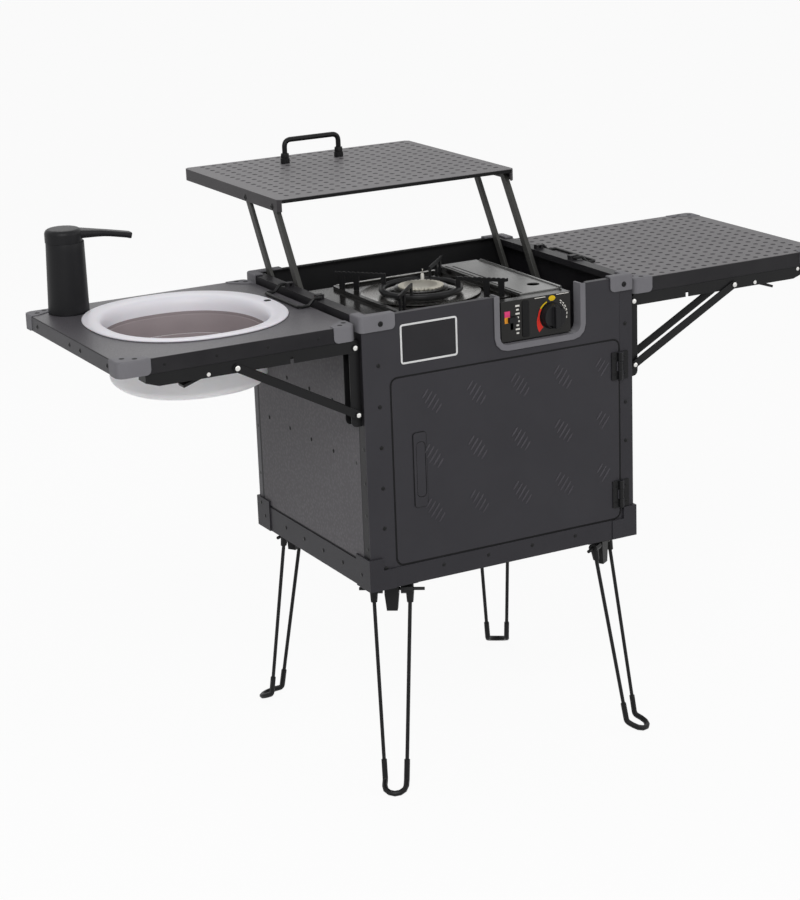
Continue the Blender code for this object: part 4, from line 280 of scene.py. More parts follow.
# Printed marks on the stove's control plate: plain screen inks, flat and slightly dull
INK_WHITE = coated("screen_ink_white", "plastic_black", "#d8d6d0", "#c9c7c1", 0.8, 0.00001, 0.5)
INK_YELLOW = coated("screen_ink_yellow", "plastic_black", "#d9b81c", "#c9a815", 0.8, 0.00001, 0.5)
INK_RED = coated("screen_ink_red", "plastic_black", "#d8352a", "#c52c22", 0.8, 0.00001, 0.5)
INK_PINK = coated("screen_ink_pink", "plastic_black", "#d8447a", "#cc3a6c", 0.8, 0.00001, 0.5)
INK_ORANGE = coated("screen_ink_orange", "plastic_black", "#e09a30", "#d98a2e", 0.8, 0.00001, 0.5)
# Black lacquered sheet of the bare plate: smooth, a little glossy
PLATE_BLACK = coated("lacquered_sheet", "plastic_black", "#201f22", "#252427", 1.2, 0.00002, 0.35)
# The raised edge of the bare plate: a thin line of light, drawn light grey as a painted highlight
PLATE_EDGE = coated("sheet_edge_painted_highlight", "tray_steel", "#d6d6d6", "#cacaca", 1.0, 0.00001, 0.4)
# The walls' embossed sheet: its pebbles break the light into a fine mottle, with painted shade in the low ground
# between them
STUCCO = stucco_sheet()
# The burner's dish and the tray's edge: bright steel with streaks of light across it
TRAY_STEEL = brushed_steel("bright_steel_sheet", "tray_steel", "#b9b8b4", "#8f8e8a", 0.24, (1.0, 14.0, 1.0))
# The bay's cover: steel sheet brushed along the box, under a thin grey film
COVER_STEEL = brushed_steel("brushed_steel_cover", "tray_steel", "#868685", "#6e6e6d", 0.34, (14.0, 1.0, 1.0))
# Die-cast aluminium of the burner: even, warm and dull
BURNER_METAL = brushed_steel("die_cast_aluminium", "tray_steel", "#c9c5b9", "#a8a498", 0.38, (1.0, 1.0, 1.0))
# Tinplate of the cartridge: bright, drawn lengthwise
TIN = brushed_steel("tinplate", "can_tin", "#b4b4b2", "#9b9b99", 0.28, (1.0, 8.0, 1.0))


# Shapes

def put(axis, a, b, along):
    """A point from two coordinates across an axis and one along it."""
    return {"x": Vector((along, a, b)), "y": Vector((a, along, b)), "z": Vector((a, b, along))}[axis]


def turns(count):
    """Angles evenly round a circle."""
    return [2 * math.pi * step / count for step in range(count)]


def oval(middle, wide, tall, angles):
    """Points on an oval of two radii."""
    return [(middle[0] + wide * math.cos(angle), middle[1] + tall * math.sin(angle)) for angle in angles]


def arc(middle, radius, first, last, steps=6):
    """Points on a part of a circle, between two angles in degrees."""
    return oval(middle, radius, radius, [math.radians(first + (last - first) * step / steps)
                                         for step in range(steps + 1)])


def rectangle(low, high):
    """A plain rectangle, counterclockwise."""
    return [(low[0], low[1]), (high[0], low[1]), (high[0], high[1]), (low[0], high[1])]


def round_outline(low, high, radius, steps=6, inset=0.0):
    """A rectangle with round corners, counterclockwise, drawn in or out by an inset."""
    low, high = [value + radius for value in low], [value - radius for value in high]
    return [point for corner, start in (((high[0], high[1]), 0), ((low[0], high[1]), 90),
                                        ((low[0], low[1]), 180), ((high[0], low[1]), 270))
            for point in arc(corner, radius - inset, start, start + 90, steps)]


def squared(hole, middle, low, high):
    """A rectangle's outline with a point for each point of a hole's outline, and one at each corner."""
    line = []
    for point in hole:
        way = [point[axis] - middle[axis] for axis in (0, 1)]
        reach = min(abs((high if way[axis] > 0 else low)[axis] - middle[axis]) / max(abs(way[axis]), SEAT_GAP)
                    for axis in (0, 1))
        line.append((middle[0] + way[0] * reach, middle[1] + way[1] * reach))
    for corner in rectangle(low, high):
        nearest = min(range(len(line)), key=lambda k: math.dist(line[k], corner))
        line[nearest] = corner
    return line


def skinned(rings, closed=False):
    """A skin over a row of rings with as many points each, closed into a loop or filled at both ends."""
    shape = bmesh.new()
    rows = [[shape.verts.new(point) for point in ring] for ring in rings]
    for near, far in zip(rows, rows[1:] + rows[:1] if closed else rows[1:]):
        for index in range(len(near)):
            after = (index + 1) % len(near)
            shape.faces.new((near[index], near[after], far[after], far[index]))
    if not closed:
        shape.faces.new(rows[0])
        shape.faces.new(rows[-1])
    bmesh.ops.remove_doubles(shape, verts=shape.verts[:], dist=1e-7)
    return shape


def extruded(outline, axis, first, last):
    """A closed outline drawn out along an axis."""
    return skinned([[put(axis, a, b, along) for a, b in outline] for along in (first, last)])


def slab(low, high, radius, axis, first, last, steps=3):
    """A flat sheet with round corners."""
    return extruded(round_outline(low, high, radius, steps), axis, first, last)


def framed(outer, inner, axis, first, last):
    """A flat frame between two outlines with the same number of points."""
    return skinned([[put(axis, a, b, along) for a, b in line] for line, along in
                    ((outer, first), (outer, last), (inner, last), (inner, first))], closed=True)


def turned(profile, middle, axis="z", sides=40, corners=None):
    """A profile of (radius, place along the axis) turned round an axis. corners gives each ring's corner count."""
    rings = []
    for index, (radius, along) in enumerate(profile):
        ring = []
        for angle in turns(sides):
            reach = radius
            if corners and corners[index]:
                wedge = 2 * math.pi / corners[index]
                reach = radius * math.cos(wedge / 2) / math.cos(angle % wedge - wedge / 2)
            ring.append(put(axis, middle[0] + reach * math.cos(angle), middle[1] + reach * math.sin(angle), along))
        rings.append(ring)
    return skinned(rings)


def hoop(middle, section, sides):
    """A level ring with a closed section of (reach, height)."""
    return skinned([[Vector((middle[0] + reach * math.cos(turn), middle[1] + reach * math.sin(turn), height))
                     for reach, height in section] for turn in turns(sides)], closed=True)


def filleted(points, radius, steps=6):
    """A path whose corners are rounded."""
    path = [points[0]]
    for before, corner, after in zip(points, points[1:], points[2:]):
        back = (before - corner).normalized()
        ahead = (after - corner).normalized()
        half = back.angle(ahead) / 2
        reach = min(radius / math.tan(half), (before - corner).length / 2, (after - corner).length / 2)
        for step in range(steps + 1):
            share = step / steps
            first = (corner + back * reach).lerp(corner, share)
            second = corner.lerp(corner + ahead * reach, share)
            path.append(first.lerp(second, share))
    return path + [points[-1]]


def piped(path, radius, sides):
    """A round tube along a path."""
    rings = []
    across = None
    for index, point in enumerate(path):
        ahead = (path[min(index + 1, len(path) - 1)] - path[max(index - 1, 0)]).normalized()
        if across is None:
            across = ahead.orthogonal().normalized()
        across = (across - ahead * across.dot(ahead)).normalized()
        third = ahead.cross(across)
        rings.append([point + across * a + third * b for a, b in oval((0, 0), radius, radius, turns(sides))])
    return skinned(rings)


def joined(shapes):
    """Several shapes in one mesh."""
    whole = bmesh.new()
    for shape in shapes:
        part = bpy.data.meshes.new("part")
        shape.to_mesh(part)
        shape.free()
        whole.from_mesh(part)
        bpy.data.meshes.remove(part)
    return whole


def moved(shape, matrix):
    """A shape after a move."""
    bmesh.ops.transform(shape, matrix=matrix, verts=shape.verts[:])
    return shape


def softened(made, width, segments=2):
    """Rounds a piece's sharp edges and keeps its flat faces flat to the light."""
    bevel = made.modifiers.new("round_edges", "BEVEL")
    bevel.width = width
    bevel.segments = segments
    bevel.limit_method = "ANGLE"
    bevel.angle_limit = math.radians(30.0)
    bevel.use_clamp_overlap = True
    made.modifiers.new("flat_faces", "WEIGHTED_NORMAL").keep_sharp = False


def made_piece(name, shape, finish, body, crease=35.0, other=None, node=None, soft=0.0):
    """A piece from a shape in box coordinates. It rides on a body of the frame and may replace one of its nodes."""
    mesh = bpy.data.meshes.new(name)
    bmesh.ops.recalc_face_normals(shape, faces=shape.faces[:])
    shape.to_mesh(mesh)
    shape.free()
    for one in (finish, other) if other else (finish,):
        mesh.materials.append(one.material)
    for face in mesh.polygons:
        face.use_smooth = True
    mesh.set_sharp_from_angle(angle=math.radians(crease))
    made = bpy.data.objects.new(name, mesh)
    scene.collection.objects.link(made)
    made.location = CORNER
    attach(made, body)
    if node:
        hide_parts(node)
    if soft:
        softened(made, soft)


def dressed(node, finish, width, segments):
    """Gives a frame node its finish, and rounds its edges without touching its mesh."""
    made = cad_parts[node]
    made.material_slots[0].material = finish.material
    for face in made.data.polygons:
        face.use_smooth = True
    made.modifiers.new("one_skin", "WELD").merge_threshold = 1e-5
    flat = made.modifiers.new("whole_faces", "DECIMATE")
    flat.decimate_type = "DISSOLVE"
    flat.angle_limit = math.radians(1.0)
    softened(made, width, segments)


# Sections of a dome and of a button head with a hexagon socket: shares of the radius and of the rise
DOME_SHARES = ((1.0, 0.0), (0.97, 0.35), (0.8, 0.72), (0.5, 0.94), (0.0, 1.0))
SOCKET_SHARES = ((1.0, 0.0), (0.96, 0.45), (0.78, 0.9), (0.6, 1.0), (0.46, 1.0), (0.44, 0.35), (0.0, 0.3))
SOCKET_CORNERS = (0, 0, 0, 0, 6, 6, 0)


def rivets(name, body, places, radius, rise, axis, way, finish=RIVET_BLACK, shares=DOME_SHARES, sides=16,
           corners=None):
    """Heads on a face that looks along an axis; a place is (a, b, height of the face)."""
    heads = [turned([(radius * across, face + way * rise * up) for across, up in shares], (a, b), axis, sides,
                    corners) for a, b, face in places]
    made_piece(name, joined(heads), finish, body)


def screws(name, body, places, radius, rise, axis, way):
    """Button heads with a hexagon socket."""
    rivets(name, body, places, radius, rise, axis, way, RIVET_BLACK, SOCKET_SHARES, 24, SOCKET_CORNERS)


# Camera, light and floor

def camera():
    """The camera at the photograph's angle."""
    azimuth, elevation, roll = (math.radians(a) for a in (CAMERA_AZIMUTH, CAMERA_ELEVATION, CAMERA_ROLL))
    forward = Vector((math.sin(azimuth) * math.cos(elevation), math.cos(azimuth) * math.cos(elevation),
                      -math.sin(elevation)))
    level = Vector((math.cos(azimuth), -math.sin(azimuth), 0.0))
    rise = level.cross(forward)
    across = level * math.cos(roll) + rise * math.sin(roll)
    upright = rise * math.cos(roll) - level * math.sin(roll)
    data = bpy.data.cameras.new("photo_camera")
    data.sensor_width = SENSOR
    data.lens = SENSOR * FOCAL_PIXELS / IMAGE_HEIGHT
    view = bpy.data.objects.new("photo_camera", data)
    scene.collection.objects.link(view)
    turn = Matrix((across, upright, -forward)).transposed().to_4x4()
    view.matrix_world = Matrix.Translation(CORNER + CAMERA_PLACE) @ turn
    scene.camera = view


def lamp(name, place, size, power):
    """A square soft box that looks at the middle of the cabinet."""
    data = bpy.data.lights.new(name, "AREA")
    data.size = size
    data.energy = power
    made = bpy.data.objects.new(name, data)
    scene.collection.objects.link(made)
    made.location = CORNER + Vector(place)
    aim = Vector((BOX_WIDTH / 2, BOX_DEPTH / 2, BOX_HEIGHT / 2))
    made.rotation_euler = (made.location - CORNER - aim).to_track_quat("Z", "Y").to_euler()


def seen_directly(material):
    """One for rays from the camera, or seen in gloss or through glass; zero for the light that falls on things."""
    path = add(material, "LightPath").outputs
    either = add(material, "Math", {0: path["Is Camera Ray"], 1: path["Is Glossy Ray"]}, operation="MAXIMUM")
    return add(material, "Math", {0: either.outputs[0], 1: path["Is Transmission Ray"]},
               operation="MAXIMUM").outputs[0]


# Soft boxes: name, place, edge length and power in watts
SOFT_BOXES = (("key_light", (-1.3, -1.9, 2.1), 1.4, 46.0), ("fill_light", (2.2, -2.2, 1.2), 1.8, 16.0),
              ("back_light", (0.6, 2.4, 2.4), 1.6, 12.0))
WHITE = (1.0, 1.0, 1.0, 1.0)
SKY_LIGHT = 0.42
FLOOR_GLOW = 0.93
FLOOR_REACH = 30.0
FLOOR_DROP = 0.0004


def studio():
    """A white surround, a large key light from the left front, a fill, a back light and a pale floor."""
    world = bpy.data.worlds.new("white_studio")
    scene.world = world
    world.use_nodes = True
    world.node_tree.nodes.clear()
    direct = seen_directly(world)
    light = add(world, "Background", {"Color": WHITE, "Strength": SKY_LIGHT})
    white = add(world, "Background", {"Color": WHITE, "Strength": 1.0})
    both = add(world, "MixShader", {0: direct, 1: light.outputs[0], 2: white.outputs[0]})
    add(world, "OutputWorld", {"Surface": both.outputs[0]})
    for soft_box in SOFT_BOXES:
        lamp(*soft_box)
    # White paper: matt, with a tone that drifts faintly over half a metre
    material, place = started("white_paper_floor")
    spread = add(material, "TexNoise", {"Vector": place, "Scale": per(400.0), "Detail": 2.0}).outputs["Fac"]
    tone = add(material, "Mix", {0: spread, 6: linear("#f2f2f2"), 7: linear("#efefef")}, data_type="RGBA").outputs[2]
    paper = add(material, "BsdfDiffuse", {"Color": tone})
    bright = add(material, "Emission", {"Color": WHITE, "Strength": 1.0})
    share = add(material, "Math", {0: seen_directly(material), 1: FLOOR_GLOW}, operation="MULTIPLY").outputs[0]
    mixed = add(material, "MixShader", {0: share, 1: paper.outputs[0], 2: bright.outputs[0]})
    add(material, "OutputMaterial", {"Surface": mixed.outputs[0]})
    shape = bmesh.new()
    shape.faces.new([shape.verts.new((x, y, -FLOOR_DROP))
                     for x, y in rectangle((-FLOOR_REACH, -FLOOR_REACH), (FLOOR_REACH, FLOOR_REACH))])
    mesh = bpy.data.meshes.new("studio_floor")
    shape.to_mesh(mesh)
    shape.free()
    mesh.materials.append(material)
    floor = bpy.data.objects.new("studio_floor", mesh)
    scene.collection.objects.link(floor)
    scene.view_settings.view_transform = "Standard"


camera()
studio()


# Frame nodes that keep their own shape: finish, edge rounding and its segments

STEEL_STEMS = ("leg_bracket", "wall_channel", "wing_beam", "brace", "catch_lever", "leg")
STEEL_NODES = [f"{stem}_{end}_{side}" for side in SIDES for end in ENDS for stem in STEEL_STEMS]

for finish, width, segments, nodes in (
        (CHARCOAL, 0.0005, 2, ("front_panel", "door")),
        (POST_COAT, 0.0005, 2, ("base_tray",)),
        (INNER_COAT, 0.0005, 2, ("rear_panel", "stove_shelf", "storage_shelf")),
        (WING_COAT, 0.0005, 2, ("left_panel", "right_panel")),
        (NYLON, 0.0009, 3, ("notch_trim",)),
        # The lid's flanges take a darker copy of its alloy, painted shade
        (LID_FLANGE, 0.0006, 2, ("lid_panel",)),
        (WING_COAT, 0.0008, 3, ("wing_left", "wing_right")),
        (BLACK_STEEL, 0.0002, 2, ("bail_left", "bail_right")),
        (BLACK_STEEL, 0.0004, 2, STEEL_NODES),
        (ENAMEL, 0.0006, 2, ("stove_body",)),
        (ENAMEL, 0.0005, 2, ("drip_tray",)),
        (ABS_BLACK, 0.0007, 2, ("gas_knob",)),
        (ABS_BLACK, 0.0006, 2, ("cartridge_lever",)),
        (TIN, 0.0004, 2, ("gas_cartridge",))):
    for node in nodes:
        dressed(node, finish, width, segments)


# Door: raised tread bars, seal, pull and hinges

DOOR_LOW, DOOR_HIGH = span("door")
DOOR_MARGIN = 0.0260
DOOR_RIGHT = BOX_WIDTH - DOOR_MARGIN
DOOR_ROUND = 0.0100
DOOR_PROUD = 0.0006
TREAD_COLUMN = 0.0765
TREAD_ROW = 0.0855
TREAD_COLUMNS = 5
TREAD_ROWS = 3
TREAD_LEFT_MARGIN = 0.0670
TREAD_TOP_MARGIN = 0.0430
TREAD_END_MARGIN = 0.0170
TREAD_BARS = 5
TREAD_BAR = 0.0255
TREAD_BAR_WIDTH = 0.0030
TREAD_RISE = 0.0015
TREAD_LEAN = math.radians(52.0)
TREAD_STEP_X = 0.0055
TREAD_STEP_Z = 0.0065
TREAD_SHORTER = 0.17
TREAD_SHARES = ((1.0, 0.0), (0.86, 0.55), (0.55, 0.9), (0.2, 1.0))


def tread_bar(x, z, length):
    """One raised bar of the five-bar tread pattern: a long low lens."""
    lean = Matrix.Rotation(TREAD_LEAN, 2)
    rings = []
    for share, rise in TREAD_SHARES:
        line = oval((0, 0), share * length / 2, share * TREAD_BAR_WIDTH / 2, turns(14))
        rings.append([Vector((x + at.x, -DOOR_PROUD - rise * TREAD_RISE, z + at.y))
                      for at in (lean @ Vector(point) for point in line)])
    return skinned(rings)


def door_tread():
    """Clusters of five bars over the door, all leaning the same way; none reaches the hinges' edge."""
    bars = []
    for left in row(DOOR_LOW.x + TREAD_LEFT_MARGIN, TREAD_COLUMN, TREAD_COLUMNS):
        for height in row(DOOR_HIGH.z - TREAD_TOP_MARGIN, -TREAD_ROW, TREAD_ROWS):
            for along in row(-(TREAD_BARS - 1) / 2, 1, TREAD_BARS):
                bar = tread_bar(left + along * TREAD_STEP_X, height - along * TREAD_STEP_Z,
                                TREAD_BAR * (1.0 - TREAD_SHORTER * abs(along)))
                if max(vertex.co.x for vertex in bar.verts) < DOOR_RIGHT - TREAD_END_MARGIN:
                    bars.append(bar)
    # The bars' lighter coat is a painted highlight
    made_piece("door_tread", joined(bars), TREAD_HIGHLIGHT, "door", 60.0)


SEAM_SHADE_START = 0.0004
SEAM_SHADE_WIDTH = 0.0023
SEAM_SHADE_RISE = 0.0005


def door_seam_shade():
    """Painted shade: a dark band on the front wall, all round the door, in its seam."""
    lines = [round_outline((DOOR_LOW.x, DOOR_LOW.z), (DOOR_RIGHT, DOOR_HIGH.z), DOOR_ROUND, inset=-grow)
             for grow in (SEAM_SHADE_START + SEAM_SHADE_WIDTH, SEAM_SHADE_START)]
    made_piece("door_seam_shade", framed(*lines, "y", -HAIR, -SEAM_SHADE_RISE), RUBBER_AND_SHADE, "root")


PULL_LOW, PULL_HIGH = span("door_pull")
PULL_ROUND = 0.0050
PULL_SHADE_LINE = 0.0010
PULL_SHADE_LINE_THIN = 0.0004
PULL_SLOT_LEFT = 0.0048
PULL_SLOT_RIGHT = 0.0018
PULL_SLOT_ENDS = 0.0150
PULL_GROOVE = 0.0010
PULL_RISE = 0.0012
PADDLE_RISE = 0.00084
PULL_SHADE_RISE = 0.00096
GROOVE_RISE = 0.00024


def door_pull():
    """The nearly flush pull: a coat-coloured plate in a thin black line of painted shade, wider on the left and top,
    with a long round-ended paddle in a groove of painted shade.
    """
    back = PULL_HIGH.y
    low, high = (PULL_LOW.x, PULL_LOW.z), (PULL_HIGH.x, PULL_HIGH.z)
    slot_low = (low[0] + PULL_SLOT_LEFT, low[1] + PULL_SLOT_ENDS)
    slot_high = (high[0] - PULL_SLOT_RIGHT, high[1] - PULL_SLOT_ENDS)
    slot_round = (slot_high[0] - slot_low[0]) / 2 - PULL_GROOVE
    outer = round_outline(low, high, PULL_ROUND)
    plate = round_outline((low[0] + PULL_SHADE_LINE, low[1] + PULL_SHADE_LINE_THIN),
                          (high[0] - PULL_SHADE_LINE_THIN, high[1] - PULL_SHADE_LINE), PULL_ROUND - PULL_SHADE_LINE)
    slot = round_outline(slot_low, slot_high, slot_round)
    paddle = round_outline(slot_low, slot_high, slot_round, inset=PULL_GROOVE)
    made_piece("pull_plate", framed(plate, slot, "y", back, back - PULL_RISE), CHARCOAL, "door", node="door_pull",
               soft=0.0003)
    made_piece("pull_paddle", extruded(paddle, "y", back, back - PADDLE_RISE), CHARCOAL, "door", soft=0.0004)
    # Painted shade: the dark line round the plate and the dark groove round the paddle
    made_piece("pull_shade_line", framed(outer, plate, "y", back, back - PULL_SHADE_RISE), RUBBER_AND_SHADE, "door")
    made_piece("pull_groove", framed(slot, paddle, "y", back, back - GROOVE_RISE), RUBBER_AND_SHADE, "door")


HINGE_HEIGHT = 0.0440
HINGE_FROM_LOW = 0.0170
HINGE_FROM_HIGH = 0.0190
HINGE_BOTTOMS = {"low": DOOR_LOW.z + HINGE_FROM_LOW, "high": DOOR_HIGH.z - HINGE_FROM_HIGH - HINGE_HEIGHT}
HINGE_OFF_DOOR = 0.0010
HINGE_X = DOOR_RIGHT + HINGE_OFF_DOOR
HINGE_Y = -0.0044
HINGE_BARREL = 0.0035
HINGE_SKIN = 0.0003
HINGE_GAP = 0.0004
HINGE_POST_LEAF = 0.0120
HINGE_DOOR_LEAF = 0.0100
HINGE_LEAF_SHEET = 0.0018
HINGE_LEAF_ROUND = 0.0015
HINGE_SCREW = 0.0021
HINGE_SCREW_RISE = 0.0007
HINGE_SCREW_SHARES = (0.2, 0.8)
KNUCKLE_SOFT = 0.0005


def knuckle(low, high):
    """One knuckle of a hinge, with soft ends."""
    radius = HINGE_BARREL + HINGE_SKIN
    return turned([(radius - KNUCKLE_SOFT, low), (radius, low + KNUCKLE_SOFT), (radius, high - KNUCKLE_SOFT),
                   (radius - KNUCKLE_SOFT, high)], (HINGE_X, HINGE_Y), "z", 28)


def hinge_half(half, place, body, way, leaf, proud, knuckles):
    """One half of a hinge over the frame's own: its leaf, its knuckles and two screws."""
    low = HINGE_BOTTOMS[place]
    start = HINGE_BARREL + HINGE_GAP
    inner, outer = sorted((HINGE_X + way * (start - HINGE_SKIN), HINGE_X + way * (start + leaf + HINGE_SKIN)))
    face = -HINGE_LEAF_SHEET - HINGE_SKIN - proud
    sheet = slab((inner, low - HINGE_SKIN), (outer, low + HINGE_HEIGHT + HINGE_SKIN), HINGE_LEAF_ROUND, "y",
                 -proud - HAIR, face)
    shapes = [sheet] + [knuckle(low + first, low + last) for first, last in knuckles]
    made_piece(f"hinge_{half}_{place}", joined(shapes), BLACK_STEEL, body, soft=0.0003)
    spots = [(HINGE_X + way * (start + leaf / 2), low + HINGE_HEIGHT * share, face)
             for share in HINGE_SCREW_SHARES]
    screws(f"hinge_{half}_screws_{place}", body, spots, HINGE_SCREW, HINGE_SCREW_RISE, "y", -1)


def hinges():
    """Two black hinges: the post's half has the outer two knuckles, the door's half the middle one."""
    third = HINGE_HEIGHT / 3
    outer_two = ((0.0, third - HINGE_GAP), (2 * third + HINGE_GAP, HINGE_HEIGHT))
    for place in HINGE_BOTTOMS:
        hinge_half("post", place, "root", 1, HINGE_POST_LEAF, 0.0, outer_two)
        hinge_half("door", place, "door", -1, HINGE_DOOR_LEAF, DOOR_PROUD, ((third, 2 * third),))


door_tread()
door_seam_shade()
door_pull()
hinges()


# Front wall: the post strip and the bare plate

POST_OFF_DOOR = 0.0031
POST_BOTTOM = 0.0520
POST_EDGE = 0.0004
POST_DOWN = 0.0240
POST_SHEET = 0.0004
POST_ROUND = 0.0010
PLATE_LOW = (0.0630, 0.3420)
PLATE_HIGH = (0.1594, 0.4025)
PLATE_ROUND = 0.0048
PLATE_BORDER = 0.0029
PLATE_THICK = 0.00063
PLATE_EDGE_THICK = 0.0009
PLATE_SOFT = 0.0002


def post_strip():
    """The dark strip over the right front post, beside the door: painted shade where the post turns the corner."""
    strip = slab((DOOR_RIGHT + POST_OFF_DOOR, POST_BOTTOM), (BOX_WIDTH - POST_EDGE, BOX_HEIGHT - POST_DOWN),
                 POST_ROUND, "y", -HAIR, -POST_SHEET, 2)
    made_piece("post_strip", strip, POST_COAT, "root", soft=0.0001)


def bare_plate():
    """A bare plate: black sheet with a thin raised edge drawn bright as a painted highlight."""
    outer = round_outline(PLATE_LOW, PLATE_HIGH, PLATE_ROUND)
    inner = round_outline(PLATE_LOW, PLATE_HIGH, PLATE_ROUND, inset=PLATE_BORDER)
    made_piece("plate_sheet", extruded(inner, "y", -SEAT_GAP, -PLATE_THICK), PLATE_BLACK, "root", soft=PLATE_SOFT)
    made_piece("plate_edge", framed(outer, inner, "y", -SEAT_GAP, -PLATE_EDGE_THICK), PLATE_EDGE, "root",
               soft=PLATE_SOFT)


post_strip()
bare_plate()


# Side and rear walls: thin sheets and blind rivets. Places of rivets are (x, z) or (y, z) on their wall

WALL_SHEET = 0.00025
WALL_FRONT = 0.0200
WALL_BACK = 0.3660
WALL_BOTTOM = 0.0430
WALL_TOP = 0.3900
WALL_ROUND = 0.0020
REAR_STRIP = 0.3715
REAR_STRIP_EDGE = 0.0006
STRIP_ROUND = 0.0010
RAIL_INSET = 0.0012
RAIL_TALL = 0.0400
RAIL_PROUD = 0.0015
GUARD_ARM = 0.0410
GUARD_PROUD = 0.0035
RIVET_RADIUS = 0.0033
RIVET_RISE = 0.0012
EDGE_RIVET_RADIUS = 0.85 * RIVET_RADIUS
POST_RIVET_HEIGHTS = row(0.3460, -0.0627, 6)
LEFT_POST_RIVET = 0.0260
RIGHT_POST_RIVET = 0.0130
RIGHT_POST_ROWS = (0, 2, 3)
FRONT_RAIL_RIVETS = [(x, 0.0190) for x in row(0.1240, 0.0787, 4)]
SHELF_RIVETS = [(y, 0.1940) for y in row(0.1078, 0.0748, 4)] + [(y, 0.2750) for y in row(0.1040, 0.0780, 3)]
SIDE_RAIL_RIVETS = [(y, 0.0210) for y in row(0.0900, 0.0660, 4)]
GUARD_RIVETS = [(0.0240, 0.0210), (0.3610, 0.0210), (0.3740, 0.0410)]
WALL_EDGE_RIVETS = ([(0.0330, 0.1940)] + [(0.0080, z) for z in (0.2205, 0.1680, 0.1176, 0.0650)]
                    + [(0.3770, z) for z in row(0.0900, 0.0800, 4)])
REAR_RIVETS = [(x, z) for z in (0.1200, 0.3000) for x in row(0.0400, 0.0780, 6)]


def wall_sheets():
    """The embossed sheets on the walls, the plain strips at the sides' rear edge and the rails below."""
    for side in SIDES:
        near, far = side_x(side, -FILM), side_x(side, -WALL_SHEET)
        sheet = slab((WALL_FRONT, WALL_BOTTOM), (WALL_BACK, WALL_TOP), WALL_ROUND, "x", near, far)
        made_piece(f"{side}_wall_sheet", sheet, STUCCO, "root")
        # Between the sheet and the strip, a gap shows the wall's near-black coat as a painted shadow gap
        strip = slab((REAR_STRIP, WALL_BOTTOM), (BOX_DEPTH - REAR_STRIP_EDGE, WALL_TOP), STRIP_ROUND, "x", near,
                     far)
        made_piece(f"{side}_rear_strip", strip, STRIP_GREY, "root")
        end = GUARD_ARM + RAIL_INSET
        rail = slab((end, RAIL_INSET), (BOX_DEPTH - end, RAIL_TALL - RAIL_INSET), STRIP_ROUND, "x",
                    side_x(side, -RAIL_PROUD - FILM), side_x(side, -RAIL_PROUD - WALL_SHEET))
        made_piece(f"{side}_rail_sheet", rail, TRAY_COAT, "root")
    sheet = slab((WALL_FRONT, WALL_BOTTOM), (BOX_WIDTH - WALL_FRONT, WALL_TOP), WALL_ROUND, "y",
                 BOX_DEPTH + FILM, BOX_DEPTH + WALL_SHEET)
    made_piece("rear_wall_sheet", sheet, STUCCO, "root")


def cabinet_rivets():
    """The dark blind rivets on the front posts, the bottom rail and the side and rear walls."""
    front = [(LEFT_POST_RIVET, z, 0.0) for z in POST_RIVET_HEIGHTS]
    front += [(BOX_WIDTH - RIGHT_POST_RIVET, POST_RIVET_HEIGHTS[index], -POST_SHEET) for index in RIGHT_POST_ROWS]
    front += [(x, z, -RAIL_PROUD) for x, z in FRONT_RAIL_RIVETS]
    rivets("front_rivets", "root", front, RIVET_RADIUS, RIVET_RISE, "y", -1)
    for side, way in SIDES.items():
        rows = ((WALL_SHEET, SHELF_RIVETS), (RAIL_PROUD + WALL_SHEET, SIDE_RAIL_RIVETS),
                (GUARD_PROUD, GUARD_RIVETS))
        places = [(y, z, side_x(side, -proud)) for proud, spots in rows for y, z in spots]
        rivets(f"{side}_wall_rivets", "root", places, RIVET_RADIUS, RIVET_RISE, "x", way)
        places = [(y, z, side_x(side, -WALL_SHEET)) for y, z in WALL_EDGE_RIVETS]
        rivets(f"{side}_edge_rivets", "root", places, EDGE_RIVET_RADIUS, FLUSH_RISE, "x", way)
    rivets("rear_rivets", "root", [(x, z, BOX_DEPTH) for x, z in REAR_RIVETS], RIVET_RADIUS, RIVET_RISE, "y", 1)


wall_sheets()
cabinet_rivets()


# Corner blocks of the cabinet and the wings

WRAP_ROUND_TOP = 0.0026
WRAP_ROUND_LOW = 0.0070
WRAP_END_SHARES = (0.0, 0.12, 0.3, 0.6, 1.0)
WRAP_STEPS = 8


def wrap_path(arm_a, arm_b, radius):
    """A corner wrap's outer line in plan, as (place, inward direction, distance to the nearer arm's end)."""
    ends = [WRAP_ROUND_LOW * share for share in WRAP_END_SHARES]
    path = [((arm_a - way, 0.0), (0.0, 1.0), way) for way in ends]
    for step in range(WRAP_STEPS + 1):
        angle = math.radians(90 * step / WRAP_STEPS)
        place = (radius * (1 - math.sin(angle)), radius * (1 - math.cos(angle)))
        path.append((place, (math.sin(angle), math.cos(angle)), WRAP_ROUND_LOW))
    return path + [((0.0, arm_b - way), (1.0, 0.0), way) for way in reversed(ends)]


